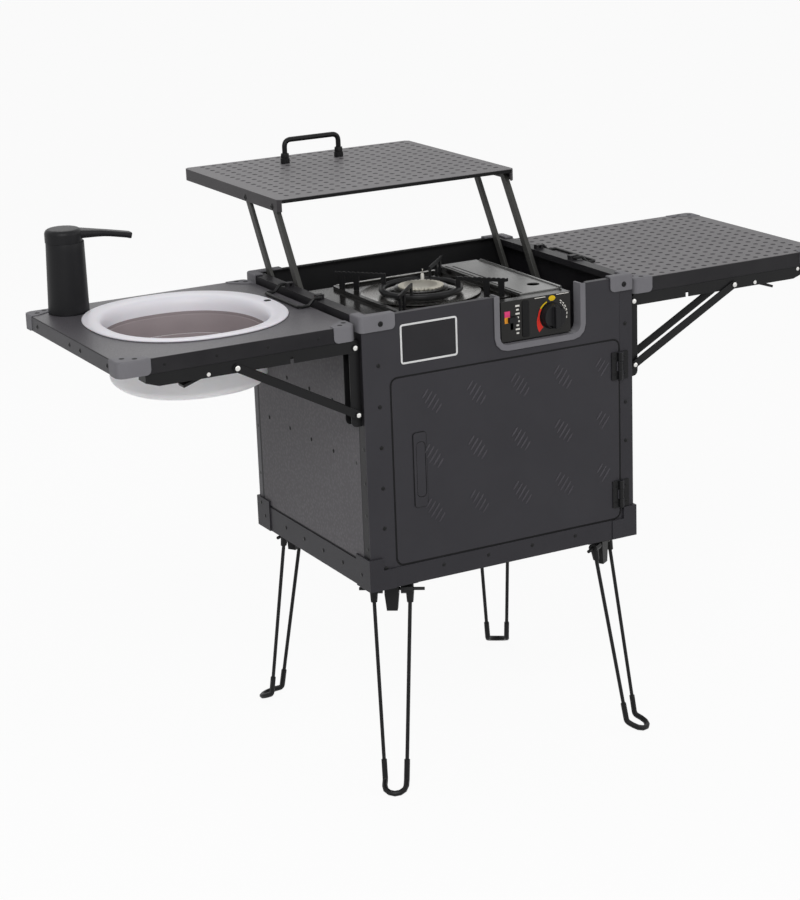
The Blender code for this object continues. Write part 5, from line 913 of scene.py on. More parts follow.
def wrap(name, body, corner, ways, arms, radius, heights, skin, flange, node=None):
    """A moulded corner: an outer wall swept round the corner, with a rounded top edge and a flange inwards."""
    bottom, top, seat = heights
    rings = []
    for (a, b), (in_a, in_b), way in wrap_path(*arms, radius):
        lift = WRAP_ROUND_LOW - math.sqrt(WRAP_ROUND_LOW ** 2 - (WRAP_ROUND_LOW - way) ** 2)
        wall = (max(a, skin), max(b, skin))
        end = flange(a, b)
        section = [((a, b), bottom + lift), ((a, b), top - WRAP_ROUND_TOP)]
        for angle in (30, 60, 90):
            into = WRAP_ROUND_TOP * (1 - math.cos(math.radians(angle)))
            rise = WRAP_ROUND_TOP * (1 - math.sin(math.radians(angle)))
            section.append(((a + in_a * into, b + in_b * into), top - rise))
        section += [(end, top), (end, seat), (wall, seat), (wall, bottom + lift)]
        rings.append([Vector((corner[0] + ways[0] * x, corner[1] + ways[1] * y, z)) for (x, y), z in section])
    made_piece(name, skinned(rings), NYLON, body, 40.0, node=node, soft=0.0005)


BLOCK_LOW, BLOCK_HIGH = span("corner_front_left")
BLOCK_FACES = {"front": BLOCK_LOW.y, "rear": span("corner_rear_left")[1].y}
BLOCK_ARMS = {"left": (0.0573, 0.0328), "right": (0.0428, 0.0328)}
BLOCK_TALL = 0.0242
BLOCK_OUTER_ROUND = 0.0070
BLOCK_WALL = 0.0025
BLOCK_FLANGE = 0.0148
BLOCK_SCREW = 0.0042
BLOCK_SCREW_RISE = 0.0012
BLOCK_SCREW_IN = {"left": 0.0304, "right": 0.0160}
BLOCK_SCREW_DOWN = 0.0140


def corner_blocks():
    """Grey blocks on the cabinet's four top corners, with a dark socket screw in each."""
    heights = (BLOCK_HIGH.z - BLOCK_TALL, BLOCK_HIGH.z, BOX_HEIGHT + SEAT_GAP)
    for end, way in ENDS.items():
        for side in SIDES:
            wrap(f"corner_block_{end}_{side}", "root", (side_x(side, BLOCK_LOW.x), BLOCK_FACES[end]),
                 (-SIDES[side], -way), BLOCK_ARMS[side], BLOCK_OUTER_ROUND, heights, BLOCK_WALL,
                 lambda a, b: (max(a, BLOCK_FLANGE), max(b, BLOCK_FLANGE)), f"corner_{end}_{side}")
        places = [(side_x(side, BLOCK_SCREW_IN[side]), BLOCK_HIGH.z - BLOCK_SCREW_DOWN, BLOCK_FACES[end])
                  for side in SIDES]
        screws(f"corner_screws_{end}", "root", places, BLOCK_SCREW, BLOCK_SCREW_RISE, "y", way)


WING_TOP = WING_HIGH.z
WING_BLOCK_SIZES = {"outer": (0.0500, 0.0330), "inner": (0.0365, 0.0330)}
WING_BLOCK_PROUD = 0.0014
WING_BLOCK_BELOW = 0.0004
WING_BLOCK_ROUND = 0.0125
WING_BLOCK_CHAMFER = 0.0120
WING_BLOCK_WALL = 0.0024
WING_BLOCK_HOLE = 0.0040
WING_BLOCK_HOLE_SHARES = ((0.30, 0.62), (0.60, 0.30))


def wing_block(side, end, place):
    """A grey moulded corner of a wing: a cap with one round outer corner, cut off aslant on the inside."""
    low, high = span(f"wing_{side}")
    size = WING_BLOCK_SIZES[place]
    to_right = (place == "outer") == (side == "right")
    corner = (high.x + WING_BLOCK_PROUD if to_right else low.x - WING_BLOCK_PROUD,
              low.y - WING_BLOCK_PROUD if end == "front" else high.y + WING_BLOCK_PROUD)
    ways = (-1 if to_right else 1, -ENDS[end])
    middle = [(arm + WING_BLOCK_CHAMFER) / 2 for arm in size]

    def flange(a, b):
        along_x = a > b
        arm = size[0] if along_x else size[1]
        start = (arm, WING_BLOCK_CHAMFER) if along_x else (WING_BLOCK_CHAMFER, arm)
        share = min(1.0, (arm - max(a, b)) / (arm - WING_BLOCK_ROUND))
        return tuple(first + (last - first) * share for first, last in zip(start, middle))

    top = WING_TOP + WING_BLOCK_PROUD
    wrap(f"wing_block_{place}_{end}_{side}", f"wing_{side}", corner, ways, size, WING_BLOCK_ROUND,
         (WING_LOW.z - WING_BLOCK_BELOW, top, WING_TOP + HAIR), WING_BLOCK_WALL, flange)
    # Painted shade: flat near-black discs stand for the holes in the cap
    holes = [(corner[0] + ways[0] * size[0] * a, corner[1] + ways[1] * size[1] * b, top)
             for a, b in WING_BLOCK_HOLE_SHARES]
    rivets(f"wing_block_holes_{place}_{end}_{side}", f"wing_{side}", holes, WING_BLOCK_HOLE, FLUSH_RISE, "z", 1,
           RUBBER_AND_SHADE)


corner_blocks()
for side in SIDES:
    for end in ENDS:
        for place in WING_BLOCK_SIZES:
            wing_block(side, end, place)


# Dimpled sheets on the lid and the right wing

DIMPLE_PITCH = 0.0200
DIMPLE_RADIUS = 0.0044
DIMPLE_DEPTH = 0.00055
DIMPLE_SIDES = 16
DIMPLED_RISE = 0.0006
DIMPLE_SHARES = ((1.0, 0.0), (0.88, 0.35), (0.66, 0.75), (0.35, 1.0))
# The ring of each dimple from which its faces take the painted shade
SHADE_FROM = 1
SHEET_INSET = 0.0012


def dimple_places(low, high, first):
    """The places of a row of dimples whose cells fit between two edges."""
    half = DIMPLE_PITCH / 2
    places = []
    while first + half < high:
        if first - half > low:
            places.append(first)
        first += DIMPLE_PITCH
    return places


def dimpled_sheet(name, body, low, high, top, first, clip):
    """A thin sheet with a square lattice of round dimples and a turned-down edge, its corners clipped; the dimples'
    inner faces take a darker finish as painted shade.
    """
    shape = bmesh.new()
    shaded_faces = []
    columns = dimple_places(low[0], high[0], first[0])
    rows = dimple_places(low[1], high[1], first[1])
    half = DIMPLE_PITCH / 2

    def point(x, y, down=0.0):
        return shape.verts.new((x, y, top + DIMPLED_RISE - down))

    for y in rows:
        for x in columns:
            edge = []
            for turn in turns(DIMPLE_SIDES):
                reach = half / max(abs(math.cos(turn)), abs(math.sin(turn)))
                edge.append(point(x + reach * math.cos(turn), y + reach * math.sin(turn)))
            rings = [edge]
            for share, down in DIMPLE_SHARES:
                line = oval((x, y), share * DIMPLE_RADIUS, share * DIMPLE_RADIUS, turns(DIMPLE_SIDES))
                rings.append([point(a, b, down * DIMPLE_DEPTH) for a, b in line])
            for level, (near, far) in enumerate(zip(rings, rings[1:])):
                for k in range(DIMPLE_SIDES):
                    after = (k + 1) % DIMPLE_SIDES
                    made = shape.faces.new((near[k], near[after], far[after], far[k]))
                    if level >= SHADE_FROM:
                        shaded_faces.append(made)
            shaded_faces.append(shape.faces.new(rings[-1]))
    # The painted shade goes on the dimples' inner faces
    for made in shaded_faces:
        made.material_index = 1
    inside = rectangle((columns[0] - half, rows[0] - half), (columns[-1] + half, rows[-1] + half))
    outer = [((low[0], low[1] + clip), (low[0] + clip, low[1])),
             ((high[0] - clip, low[1]), (high[0], low[1] + clip)),
             ((high[0], high[1] - clip), (high[0] - clip, high[1])),
             ((low[0] + clip, high[1]), (low[0], high[1] - clip))]
    for corner in range(4):
        after = (corner + 1) % 4
        shape.faces.new([point(*inside[corner]), point(*outer[corner][1]), point(*outer[after][0]),
                         point(*inside[after])])
        shape.faces.new([point(*inside[corner]), point(*outer[corner][0]), point(*outer[corner][1])])
    ring = [place for pair in outer for place in pair]
    for near, far in zip(ring, ring[1:] + ring[:1]):
        shape.faces.new([point(*near), point(*far), point(*far, DIMPLED_RISE), point(*near, DIMPLED_RISE)])
    bmesh.ops.remove_doubles(shape, verts=shape.verts[:], dist=1e-6)
    bmesh.ops.dissolve_degenerate(shape, edges=shape.edges[:], dist=1e-7)
    made_piece(name, shape, DIMPLED, body, 12.0, DIMPLE_SHADE)


LID_LOW, LID_HIGH = span("lid_panel")
RIGHT_LOW, RIGHT_HIGH = span("wing_right")
LID_DIMPLE = (0.0100, 0.0140)
LID_CLIP = 0.0060
WING_DIMPLE = (0.4800, 0.0200)
WING_CLIP = 0.0040
dimpled_sheet("lid_sheet", "lid", (LID_LOW.x, LID_LOW.y + SHEET_INSET), LID_HIGH.xy, LID_HIGH.z, LID_DIMPLE,
              LID_CLIP)
dimpled_sheet("right_wing_sheet", "wing_right", [value + SHEET_INSET for value in RIGHT_LOW.xy],
              [value - SHEET_INSET for value in RIGHT_HIGH.xy], RIGHT_HIGH.z, WING_DIMPLE, WING_CLIP)


# Lid fittings

ARM_HIGH = span("lid_arm_rear_left")[1]
ARM_HALF = 0.00625
ARM_SPACING = 0.0980
ARM_THICKER = 0.0025
PIVOT_RADIUS = 0.0050
PIVOT_RISE = 0.0013


def lid_pivots():
    """The pivot screws outside the lid's flanges, over the arms' heads."""
    head_y, head_z = ARM_HIGH.y - ARM_HALF, ARM_HIGH.z - ARM_HALF
    for side, way in SIDES.items():
        face = LID_LOW.x if side == "left" else LID_HIGH.x
        screws(f"lid_pivots_{side}", "lid", [(y, head_z, face) for y in (head_y, head_y - ARM_SPACING)],
               PIVOT_RADIUS, PIVOT_RISE, "x", way)


def lid_arms():
    """The four arms under the lid: flat bars with round ends, from the frame's outer faces inwards."""
    for side in SIDES:
        for end in ENDS:
            node = f"lid_arm_{end}_{side}"
            low, high = span(node)
            first, last = (low.x, high.x + ARM_THICKER) if side == "left" else (low.x - ARM_THICKER, high.x)
            foot, head = (low.y + ARM_HALF, low.z + ARM_HALF), (high.y - ARM_HALF, high.z - ARM_HALF)
            lean = math.degrees(math.atan2(head[1] - foot[1], head[0] - foot[0]))
            line = arc(head, ARM_HALF, lean - 90, lean + 90, 10) + arc(foot, ARM_HALF, lean + 90, lean + 270, 10)
            made_piece(f"lid_bar_{end}_{side}", extruded(line, "x", first, last), ARM_GREY, f"lid_arms_{end}",
                       node=node, soft=0.0006)


HANDLE_TALLER = 0.0035
HANDLE_ROD = 0.0043
HANDLE_COLLAR = 0.0078
HANDLE_FOOT_IN = 0.0070
HANDLE_BEND = 0.0120
# Sections as (past the collar's radius, height over the lid)
COLLAR_SECTION = ((0.0, 0.0), (0.0, 0.0080), (-0.0008, 0.0088))
NUT_SECTION = ((-0.0012, 0.0088), (-0.0002, 0.0096), (-0.0002, 0.0150), (-0.0014, 0.0165))


def lid_handle():
    """The bar handle: a bent rod in two hexagon nuts on round collars."""
    low, high = span("lid_handle")
    middle = (low.y + high.y) / 2
    left, right = low.x + HANDLE_FOOT_IN, high.x - HANDLE_FOOT_IN
    top = high.z + HANDLE_TALLER - HANDLE_ROD
    corners = [Vector((x, middle, z)) for x, z in ((left, low.z), (left, top), (right, top), (right, low.z))]
    shapes = [piped(filleted(corners, HANDLE_BEND, 8), HANDLE_ROD, 18)]
    for x in (left, right):
        for section, sides in ((COLLAR_SECTION, None), (NUT_SECTION, (6, 6, 6, 0))):
            profile = [(HANDLE_COLLAR + past, low.z + up) for past, up in section]
            shapes.append(turned(profile, (x, middle), "z", 36, sides))
    made_piece("lid_bar_handle", joined(shapes), BLACK_STEEL, "lid", 30.0, node="lid_handle")


HEM_TALL = 0.0052
HEM_IN = 0.0060
HEM_THICK = 0.0005


def lid_hem():
    """The black edge strip along the lid's front hem."""
    line = rectangle((LID_LOW.x + HEM_IN, LID_HIGH.z - HEM_TALL), (LID_HIGH.x - HEM_IN, LID_HIGH.z))
    made_piece("lid_front_hem", extruded(line, "y", LID_LOW.y - HAIR, LID_LOW.y - HEM_THICK), RUBBER_AND_SHADE, "lid")


lid_pivots()
lid_handle()
lid_arms()
lid_hem()


# Wings: screws and sheets on their edges, pale rivets on the folding brackets

EDGE_SCREWS = (0.0460, 0.1500, 0.1920, 0.3250)
EDGE_SCREW = 0.0036
EDGE_SCREW_RISE = 0.0012
EDGE_ENDS = 0.0300
EDGE_ROUND = 0.0008
EDGE_RIVETS = row(0.0660, 0.0800, 4)
EDGE_RIVET = 0.0026
EDGE_RIVET_RISE = 0.0008


def wing_edges():
    """A lighter sheet and dark screws on each wing's outer edge; small rivets on the left wing's other edges."""
    for side, way in SIDES.items():
        low, high = span(f"wing_{side}")
        middle = (low.z + high.z) / 2
        face = low.x if side == "left" else high.x
        screws(f"edge_screws_outer_{side}", f"wing_{side}", [(y, middle, face) for y in EDGE_SCREWS], EDGE_SCREW,
               EDGE_SCREW_RISE, "x", way)
        strip = slab((low.y + EDGE_ENDS, low.z + RAIL_INSET), (high.y - EDGE_ENDS, high.z - RAIL_INSET),
                     EDGE_ROUND, "x", face + way * FILM, face + way * WALL_SHEET)
        made_piece(f"edge_sheet_{side}", strip, TRAY_COAT, f"wing_{side}")
    for end, way in ENDS.items():
        edge = WING_LOW.y if end == "front" else WING_HIGH.y
        places = [(-x, (WING_LOW.z + WING_HIGH.z) / 2, edge) for x in EDGE_RIVETS]
        rivets(f"edge_rivets_{end}_left", "wing_left", places, EDGE_RIVET, EDGE_RIVET_RISE, "y", way)


BEAM_FACE = span("wing_beam_front_left")[0].y
CHANNEL_FACE = span("wall_channel_front_left")[0].y
BRACE_FACE = span("brace_front_left")[0].y
# Pivots of the folding brackets: their distance out from the cabinet's side, and their heights
FOLD_OUT = 0.0080
FOLD_UP = 0.0075
FOLD_HEIGHT = span("wing_beam_front_left")[0].z + FOLD_UP
BRACE_DROP = 0.1010
BRACE_ALONG = 0.1890
CATCH_ALONG = 0.2320
CATCH_DROP = 0.0030
TIP_ALONG = 0.3165
TIP_RISE = 0.0075
PALE_RISE = 0.0011


def pale_rivets():
    """Zinc-plated rivet heads at every pivot of the folding brackets, on their outer faces."""
    foot, top = (FOLD_OUT, FOLD_HEIGHT - BRACE_DROP), (FOLD_OUT + BRACE_ALONG, FOLD_HEIGHT)
    catch, tip = (FOLD_OUT + CATCH_ALONG, FOLD_HEIGHT - CATCH_DROP), (FOLD_OUT + TIP_ALONG, FOLD_HEIGHT + TIP_RISE)
    for side in SIDES:
        for name, body, spots, face, radius, rise in (
                ("fold_pivot_cap", "root", [(FOLD_OUT, FOLD_HEIGHT)], CHANNEL_FACE, 0.0038, PALE_RISE),
                ("foot_pivot_cap", f"braces_{side}", [foot], BRACE_FACE, 0.0036, PALE_RISE),
                ("brace_pivot_cap", f"braces_{side}", [top], BRACE_FACE, 0.0040, PALE_RISE),
                ("beam_rivets", f"wing_{side}", [catch, tip] if side == "right" else [catch], BEAM_FACE, 0.0030,
                 FLUSH_RISE)):
            for end, way in ENDS.items():
                places = [(side_x(side, -out), height, wing_y(end, face)) for out, height in spots]
                rivets(f"{name}_{end}_{side}", body, places, radius, rise, "y", way, ZINC)


wing_edges()
pale_rivets()


# Basin: three smooth tiers in place of the frame's faceted ones

BASIN_LOW, BASIN_HIGH = span("basin_rim")
SLEEVE_LOW, SLEEVE_HIGH = span("basin_sleeve")
PAN_LOW, PAN_HIGH = span("basin_pan")
BASIN_MIDDLE = (BASIN_LOW + BASIN_HIGH) / 2
BASIN_SIDES = 128
BASIN_SQUARENESS = 2.25
BASIN_WALL = 0.0022
LIP = BASIN_WALL / 2


def basin_ring(inset, height):
    """A level ring of the basin, some distance inside the rim's outer edge."""
    half = (BASIN_HIGH - BASIN_LOW) / 2
    ring = []
    for angle in turns(BASIN_SIDES):
        reach = [math.copysign((size - inset) * abs(part) ** (2 / BASIN_SQUARENESS), part)
                 for size, part in ((half.x, math.cos(angle)), (half.y, math.sin(angle)))]
        ring.append(Vector((BASIN_MIDDLE.x + reach[0], BASIN_MIDDLE.y + reach[1], height)))
    return ring


def tier(name, profile, finish, body, node, closed, dark_rows=()):
    """A tier of the basin; the skin between the named rows of its profile is silicone."""
    shape = skinned([basin_ring(inset, height) for inset, height in profile], closed=closed)
    shape.faces.index_update()
    for face in shape.faces:
        if face.index // BASIN_SIDES in dark_rows:
            face.material_index = 1
    made_piece(name, shape, finish, body, 50.0, SILICONE, node)


RIM_THICK = 0.0034
# The rim's inner slope, as (distance in, distance down)
RIM_SLOPE = ((0.0100, 0.0002), (0.0165, 0.0009), (0.0210, 0.0018), (0.0245, 0.0030), (0.0270, 0.0056),
             (0.0287, 0.0092), (0.0296, 0.0134), (0.0300, 0.0180))
RIM_WHITE = 0.0245
RIM_UNDER = 0.0036
RIM_UNDER_STEP = 0.0008
RIM_UNDER_IN = 0.0120
SKIRT_IN = 0.0300
SKIRT_OUT = 0.0251
HOLE_IN = 0.0094
HOLE_ALONG = 0.0080
HOLE_RADIUS = 0.0058


def basin_rim():
    """The rim with its sloping lip and its skirt, and the overflow hole as a flat disc of painted shade."""
    top = BASIN_HIGH.z
    roll = RIM_THICK / 2
    rim = arc((roll, top - roll), roll, 270, 90)
    taupe = len(rim) + len(RIM_SLOPE)
    rim += [(inset, top - down) for inset, down in RIM_SLOPE]
    rim += [(SKIRT_IN, top - RIM_WHITE), (SKIRT_IN, BASIN_LOW.z), (SKIRT_OUT, BASIN_LOW.z),
            (SKIRT_OUT, top - RIM_UNDER), (SKIRT_OUT - RIM_UNDER_STEP, top - RIM_UNDER),
            (RIM_UNDER_IN, top - RIM_THICK)]
    tier("basin_rim_smooth", rim, BASIN_WHITE, "wing_left", "basin_rim", True, (taupe,))
    # Painted shade: the overflow hole is a flat near-black disc
    place = (BASIN_HIGH.x - HOLE_IN, BASIN_MIDDLE.y + HOLE_ALONG, top - HAIR)
    rivets("overflow_hole", "wing_left", [place], HOLE_RADIUS, FLUSH_RISE, "z", 1, RUBBER_AND_SHADE)


def basin_sleeve():
    """The sliding silicone sleeve between the rim and the pan."""
    out = SLEEVE_LOW.x - BASIN_LOW.x
    sleeve = arc((out + LIP, SLEEVE_HIGH.z - LIP), LIP, 180, 0)
    sleeve += arc((out + BASIN_WALL - LIP, SLEEVE_LOW.z + LIP), LIP, 0, -180)
    tier("basin_sleeve_smooth", sleeve, SILICONE, "basin_sleeve", "basin_sleeve", True)


PAN_ROUND = 0.0140
PAN_DRAW = 0.0003
PAN_DRAW_STEP = 0.0050
PAN_DRAWN = 0.0012
PAN_FLOOR_IN = 0.0500


def basin_pan():
    """The sliding pan: white outside, drawn brighter than the rim as painted light, silicone inside."""
    out = PAN_LOW.x - BASIN_LOW.x

    def wall(start, floor):
        drawn = [(start + PAN_DRAW * step, PAN_HIGH.z - LIP - PAN_DRAW_STEP * step) for step in range(1, 4)]
        return drawn + arc((start + PAN_DRAWN + PAN_ROUND, floor + PAN_ROUND), PAN_ROUND, 180, 270, 8)

    outer = [(out, PAN_HIGH.z - LIP)] + wall(out, PAN_LOW.z)
    pan = [(out + PAN_FLOOR_IN, PAN_LOW.z)] + outer[::-1] + arc((out + LIP, PAN_HIGH.z - LIP), LIP, 180, 0)[1:]
    pan += wall(out + BASIN_WALL, PAN_LOW.z + BASIN_WALL)
    pan += [(out + BASIN_WALL + PAN_FLOOR_IN, PAN_LOW.z + BASIN_WALL)]
    inner = range(len(outer) + 4, len(pan) + 1)
    tier("basin_pan_smooth", pan, PAN_PAINTED_LIGHT, "basin_pan", "basin_pan", False, inner)


SHEET_HOLE_IN = 0.0060


def left_wing_sheet():
    """The smooth grey sheet on the left wing, with the hole for the basin; its lighter grey is painted light on the
    wing's top.
    """
    hole = [(point.x, point.y) for point in basin_ring(SHEET_HOLE_IN, 0.0)]
    line = squared(hole, BASIN_MIDDLE, [value + SHEET_INSET for value in WING_LOW.xy],
                   [value - SHEET_INSET for value in WING_HIGH.xy])
    made_piece("left_wing_sheet", framed(line, hole, "z", WING_TOP + FILM, WING_TOP + FLUSH_RISE), WING_SHEET,
               "wing_left", 20.0)


basin_rim()
basin_sleeve()
basin_pan()
left_wing_sheet()


# Tap: a smooth tapered body and a turning spout

TAP_LOW, TAP_HIGH = span("tap_body")
SPOUT_LOW, SPOUT_HIGH = span("tap_spout")
TAP_MIDDLE = ((TAP_LOW.x + TAP_HIGH.x) / 2, (TAP_LOW.y + TAP_HIGH.y) / 2)
TAP_RADIUS = (TAP_HIGH.x - TAP_LOW.x) / 2
TAP_BASE = WING_TOP + SEAT_GAP
TAP_SPLIT = TAP_HIGH.z
TAP_FOOT_SOFT = 0.0008
TAP_FOOT = 0.0030
TAP_SHOULDER = 0.0288
TAP_SHOULDER_DOWN = 0.0040
TAP_SHOULDER_EDGE = (0.0002, 0.0003)
TAP_LEAN = 0.0016
TAPER_STEPS = 10
TAP_CAP = 0.0281
CAP_EDGE = 0.0010
CAP_DOME = 0.0075
CAP_TOP_SHARE = 0.4
CAP_CROWN = 0.00002


def tap_body():
    """The tap's tapered body with a foot ring, leaning a little with the photograph's."""
    profile = [(0.0, TAP_BASE), (TAP_RADIUS - TAP_FOOT_SOFT, TAP_BASE), (TAP_RADIUS, TAP_BASE + TAP_FOOT_SOFT),
               (TAP_RADIUS, TAP_BASE + TAP_FOOT)]
    for share in row(1 / TAPER_STEPS, 1 / TAPER_STEPS, TAPER_STEPS):
        profile.append((TAP_RADIUS + (TAP_SHOULDER - TAP_RADIUS) * share,
                        TAP_BASE + TAP_FOOT + (TAP_SPLIT - TAP_BASE - TAP_SHOULDER_DOWN) * share))
    profile += [(TAP_SHOULDER - TAP_SHOULDER_EDGE[0], TAP_SPLIT - TAP_SHOULDER_EDGE[1]), (TAP_CAP, TAP_SPLIT),
                (0.0, TAP_SPLIT)]
    shear = Matrix.Identity(4)
    shear[0][2] = TAP_LEAN / (TAP_SPLIT - TAP_BASE)
    shear[0][3] = -TAP_BASE * shear[0][2]
    made_piece("tap_body_smooth", moved(turned(profile, TAP_MIDDLE, "z", 72), shear), ABS_BLACK, "tap", 40.0,
               node="tap_body")


SPOUT_RINGS = 12
SPOUT_CORNERS = 24
SPOUT_SQUARENESS = 0.45
SPOUT_ROOT_THICK = 0.0160
SPOUT_TIP_THICK = 0.0095
SPOUT_THINS_BY = 1.6
SPOUT_HALF_WIDTH = 0.0105
SPOUT_ROOT_SHARE = 0.86
SPOUT_NARROWS_BY = 1.9
SPOUT_START_DOWN = 0.0003
SPOUT_FALL = 0.0185
SPOUT_CURVE = 1.25
SPOUT_REACH_SHARE = 0.998
SPOUT_TIP_LEAN = -0.0025


def tap_spout():
    """The cap that runs out into a flat, falling spout."""
    cap_radius = (SPOUT_HIGH.y - SPOUT_LOW.y) / 2
    top = SPOUT_HIGH.z
    crown = [(0.0, TAP_SPLIT + HAIR), (TAP_CAP, TAP_SPLIT + HAIR), (TAP_CAP, TAP_SPLIT + CAP_EDGE)]
    crown += arc((TAP_CAP - CAP_DOME, top - CAP_DOME), CAP_DOME, 0, 80, 8)
    crown += [(cap_radius * CAP_TOP_SHARE, top - CAP_CROWN), (0.0, top)]
    rings = []
    for step in range(SPOUT_RINGS + 1):
        share = step / SPOUT_RINGS
        x = TAP_MIDDLE[0] + (SPOUT_HIGH.x - TAP_MIDDLE[0]) * share * SPOUT_REACH_SHARE
        upper = top - SPOUT_START_DOWN - (SPOUT_FALL - SPOUT_START_DOWN) * share ** SPOUT_CURVE
        thick = SPOUT_ROOT_THICK + (SPOUT_TIP_THICK - SPOUT_ROOT_THICK) * min(1.0, share * SPOUT_THINS_BY)
        half = SPOUT_HALF_WIDTH + ((cap_radius * SPOUT_ROOT_SHARE - SPOUT_HALF_WIDTH)
                                   * max(0.0, 1 - share * SPOUT_NARROWS_BY))
        lower = max(upper - thick, SPOUT_LOW.z)
        lean = SPOUT_TIP_LEAN if step == SPOUT_RINGS else 0.0
        ring = []
        for angle in turns(SPOUT_CORNERS):
            a, b = (math.copysign(abs(part) ** SPOUT_SQUARENESS, part)
                    for part in (math.cos(angle), math.sin(angle)))
            ring.append(Vector((x + lean * (1 - b) / 2, TAP_MIDDLE[1] + half * a,
                                (upper + lower) / 2 + (upper - lower) / 2 * b)))
        rings.append(ring)
    made_piece("tap_spout_smooth", joined([turned(crown, TAP_MIDDLE, "z", 72), skinned(rings)]), ABS_BLACK,
               "tap_spout", 40.0, node="tap_spout")


tap_body()
tap_spout()


# Stove: control plate marks, burner, pan support, bay cover and igniter

KNOB_LOW, KNOB_HIGH = span("gas_knob")
KNOB_X, KNOB_Z = (KNOB_LOW.x + KNOB_HIGH.x) / 2, (KNOB_LOW.z + KNOB_HIGH.z) / 2
LEVER_LOW, LEVER_HIGH = span("cartridge_lever")
STOVE_LOW, STOVE_HIGH = span("stove_body")
TRAY_LOW, TRAY_HIGH = span("drip_tray")
BURNER = ((TRAY_LOW.x + TRAY_HIGH.x) / 2, (TRAY_LOW.y + TRAY_HIGH.y) / 2)
INK = 0.00025


def printed(name, lines, finish, rise=INK):
    """Flat marks on the control plate, from their outlines."""
    marks = joined([extruded(line, "y", STOVE_LOW.y + HAIR, STOVE_LOW.y - rise) for line in lines])
    made_piece(name, marks, finish, "stove")


# The radius of the dial's inner edge; its rings are given as distances past it
DIAL_OFF_KNOB = 0.0016
DIAL = (KNOB_HIGH.x - KNOB_LOW.x) / 2 + DIAL_OFF_KNOB


def dial_arc(inner, outer, first, last):
    """A printed arc round the knob; angles run counterclockwise from the right."""
    steps = max(4, int(abs(last - first) / 8))
    return (arc((KNOB_X, KNOB_Z), DIAL + outer, first, last, steps)
            + arc((KNOB_X, KNOB_Z), DIAL + inner, first, last, steps)[::-1])


def bar(x, z, width, height):
    """A printed bar."""
    return rectangle((x - width / 2, z - height / 2), (x + width / 2, z + height / 2))


DOT_SIZE = (0.0058, 0.0042)
DOT_UP = 0.0052
DOT_RISE = 0.0006
YELLOW_ARC = (0.0010, 0.0032, 112, 146)
RED_START, RED_SWEEP, RED_STEPS = 146, 78, 12
RED_THIN = 0.0030
RED_GROWS = 0.0110
RED_GROWS_FROM = 0.35
LOW_ARC = (0.0008, 0.0024, -52, -6)
TICK_ANGLE = 8
# Rings of ticks: their distances past the dial's edge, and the angles at which they start
TICK_RINGS = (((0.0036, 0.0052), range(-16, 52, 13)), ((0.0010, 0.0022), range(6, 50, 13)))
LINE_THICK = 0.0011
# Lines and rows as (distance from the knob or the patch, distance under the stove's top)
LEFT_LINE, LEFT_LINE_LONG = (-0.0210, 0.0072), 0.0190
RIGHT_LINE, RIGHT_LINE_LONG = (0.0190, 0.0062), 0.0220
MARK_START, MARK_PITCH, MARK_ROWS = (0.0180, 0.0140), 0.0060, 8
MARK_WIDE, MARK_NARROWER, MARK_TALL = 0.0072, 0.0028, 0.0026
PATCH_X = 0.2500
PATCH_Z = 0.3845
PATCH_WIDE = 0.0095
PATCH_TALL = 0.0092
GUARD_OFF_LEVER = 0.0240
GUARD_HALF = 0.0060
GUARD_DOWN = (0.0640, 0.0080)
GUARD_ROUND = 0.0030
GUARD_RISE = 0.0016


def control_plate():
    """Plain screen-printed marks round the knob and beside the lever: a dot, arcs, ticks and bars."""
    top = STOVE_HIGH.z
    printed("dial_dot", [oval((KNOB_X, KNOB_Z + DIAL + DOT_UP), *DOT_SIZE, turns(28))], INK_YELLOW, DOT_RISE)
    printed("dial_arc_yellow", [dial_arc(*YELLOW_ARC)], INK_YELLOW)
    line = []
    for step in range(RED_STEPS + 1):
        share = step / RED_STEPS
        reach = DIAL + RED_THIN + RED_GROWS * max(0.0, share - RED_GROWS_FROM)
        line += oval((KNOB_X, KNOB_Z), reach, reach, [math.radians(RED_START + RED_SWEEP * share)])
    line += arc((KNOB_X, KNOB_Z), DIAL, RED_START + RED_SWEEP, RED_START, RED_STEPS)
    printed("dial_arc_red", [line], INK_RED)
    ticks = [dial_arc(*LOW_ARC)]
    ticks += [dial_arc(*ring, angle, angle + TICK_ANGLE) for ring, angles in TICK_RINGS for angle in angles]
    ticks += [bar(KNOB_X + along, top - down, long, LINE_THICK)
              for (along, down), long in ((LEFT_LINE, LEFT_LINE_LONG), (RIGHT_LINE, RIGHT_LINE_LONG))]
    ticks += [bar(PATCH_X + MARK_START[0], top - MARK_START[1] - step * MARK_PITCH,
                  MARK_WIDE - MARK_NARROWER * (step % 2), MARK_TALL) for step in range(MARK_ROWS)]
    printed("dial_ticks", ticks, INK_WHITE)
    printed("patch_upper", [bar(PATCH_X, PATCH_Z + PATCH_TALL / 2, PATCH_WIDE, PATCH_TALL)], INK_PINK)
    printed("patch_lower", [bar(PATCH_X, PATCH_Z - PATCH_TALL / 2, PATCH_WIDE, PATCH_TALL)], INK_ORANGE)
    x = (LEVER_LOW.x + LEVER_HIGH.x) / 2 + GUARD_OFF_LEVER
    guard = slab((x - GUARD_HALF, top - GUARD_DOWN[0]), (x + GUARD_HALF, top - GUARD_DOWN[1]), GUARD_ROUND, "y",
                 STOVE_LOW.y + HAIR, STOVE_LOW.y - GUARD_RISE, 4)
    made_piece("lever_guard", guard, RUBBER_AND_SHADE, "stove", soft=0.0006)


BURNER_DISC = 0.0355
BURNER_SLOTS = 32
